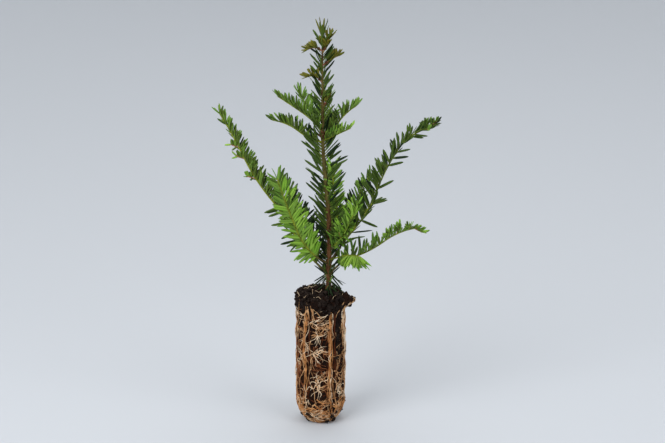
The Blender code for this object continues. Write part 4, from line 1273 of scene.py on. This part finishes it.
SCALE_LENGTH = 0.0034
SCALE_WIDTH = 0.0019
SCALE_COUNT = 16
COLLAR_ROWS = 3
COLLAR_STEP = 0.0022
COLLAR_SCATTER = 0.0006
SCALE_RISE = (38, 72)
SCALE_UNEVEN = (0.7, 1.1)
TIP_SCALES = (0.16, 0.012)  # share along a new tip of the first scale, and step to the next
TIP_SCALE_SIZE = 0.8
SCALE_SPREAD = 0.55
SCALE_SUNK = 0.9  # share of the trunk's radius at which scales start

scale_rng = np.random.default_rng([SEED, 90])
scale_rings = []
for node in TRUNK_NODES[1:]:
    number = np.arange(SCALE_COUNT * COLLAR_ROWS)
    height = node + COLLAR_STEP * (number // SCALE_COUNT - 1)
    height = height + scale_rng.uniform(-COLLAR_SCATTER, COLLAR_SCATTER, len(number))
    bearing = GOLDEN_ANGLE * number
    feet = on_trunk(bearing, height, SCALE_SUNK)
    rise = scale_rng.uniform(*SCALE_RISE, len(number))
    along, face = heading(bearing, rise), heading(bearing, rise - 90.0)
    size = SCALE_LENGTH * scale_rng.uniform(*SCALE_UNEVEN, len(number))
    scale_rings.append(blades(feet, along, face, size, 0 * size + SCALE_WIDTH, scale_rng))
for name in TIP_NAMES:
    number = np.arange(SCALE_COUNT // 2)
    foot, along = along_way(ways[name], TIP_SCALES[0] + TIP_SCALES[1] * number)
    square = unit(np.cross(along, [0.0, 1.0, 0.3]))
    turn = np.radians(GOLDEN_ANGLE * number)[:, None]
    outward = turned(square, along, turn)
    lead = unit(along + SCALE_SPREAD * outward)
    size = TIP_SCALE_SIZE * SCALE_LENGTH * scale_rng.uniform(*SCALE_UNEVEN, len(number))
    spots = foot + outward * SHOOT_FOOT_RADIUS * 0.7
    face = unit(outward - SCALE_SPREAD * along)
    scale_rings.append(blades(spots, lead, face, size, 0 * size + SCALE_WIDTH, scale_rng))
bud_brown = surface(
    "bud_scale",
    0.55,
    (
        ((0.060, 0.022, 0.010), (0.20, 0.085, 0.040), 0.0015, 0.5, 0.2),
        (None, (0.42, 0.24, 0.13), 0.0008, 0.66, 0.08),
    ),
)
put("bud_scales", tubes(np.concatenate(scale_rings)), bud_brown)

# --- Floor, light and camera ---------------------------------------------------------------
# A plain pale sheet that lies flat under the plant and sweeps up far behind it, lit by wide
# soft lamps.

SWEEP_START = 0.55
SWEEP_RADIUS = 2.6
SWEEP_END = 3.12
SWEEP_SIDES = 96
SWEEP_ROWS = 40
AIM = (0.0, 0.0, 0.2)
CAMERA_SPOT = (0.01267, -0.9594, 0.4399)
CAMERA_PITCH = 76.94


def sweep_rings():
    """Surface of revolution: flat out to the start, then a circular arc upwards."""
    flat = np.concatenate([[0.01], np.linspace(0.1, SWEEP_START, 6)])
    reach = np.concatenate([flat, np.linspace(SWEEP_START, SWEEP_END, SWEEP_ROWS)[1:]])
    rise = SWEEP_RADIUS - np.sqrt(SWEEP_RADIUS**2 - np.maximum(reach - SWEEP_START, 0) ** 2)
    bearing = np.linspace(0, 360, SWEEP_SIDES, endpoint=False)
    rings = heading(bearing, 0.0)[None] * reach[:, None, None]
    rings[..., 2] = rise[:, None]
    return rings


points, faces = tubes(sweep_rings()[None])
mesh = bpy.data.meshes.new("floor")
mesh.from_pydata(points.tolist(), [], faces[:-1])
mesh.shade_smooth()
floor = bpy.data.objects.new("floor", mesh)
bpy.context.scene.collection.objects.link(floor)
floor_material = bpy.data.materials.new("pale_floor")
floor_material.use_nodes = True
floor_shader = floor_material.node_tree.nodes["Principled BSDF"]
floor_shader.inputs["Base Color"].default_value = (0.538, 0.562, 0.595, 1)
floor_shader.inputs["Roughness"].default_value = 0.9
mesh.materials.append(floor_material)

world = bpy.data.worlds.new("studio")
bpy.context.scene.world = world
world.use_nodes = True
world.node_tree.nodes["Background"].inputs["Color"].default_value = (0.96, 0.98, 1.0, 1)
world.node_tree.nodes["Background"].inputs["Strength"].default_value = 0.65


def lamp(name, spot, size, watts):
    """A square soft lamp at a spot, turned to the middle of the plant."""
    data = bpy.data.lights.new(name, "AREA")
    data.size = size
    data.energy = watts
    made = bpy.data.objects.new(name, data)
    bpy.context.scene.collection.objects.link(made)
    made.location = spot
    direction = Vector(AIM) - Vector(spot)
    made.rotation_euler = direction.to_track_quat("-Z", "Y").to_euler()


lamp("key", (-1.0, -1.1, 1.5), 1.2, 24)
lamp("fill", (1.2, -0.85, 1.15), 1.0, 8.6)
lamp("top", (0.1, 0.7, 1.7), 1.4, 10)

camera = bpy.data.objects.new("camera", bpy.data.cameras.new("camera"))
bpy.context.scene.collection.objects.link(camera)
camera.location = CAMERA_SPOT
camera.rotation_euler = (math.radians(CAMERA_PITCH), 0.0, 0.0)
camera.data.lens = 51.7
camera.data.sensor_width = 36.0
bpy.context.scene.camera = camera
bpy.context.scene.view_settings.view_transform = "Standard"
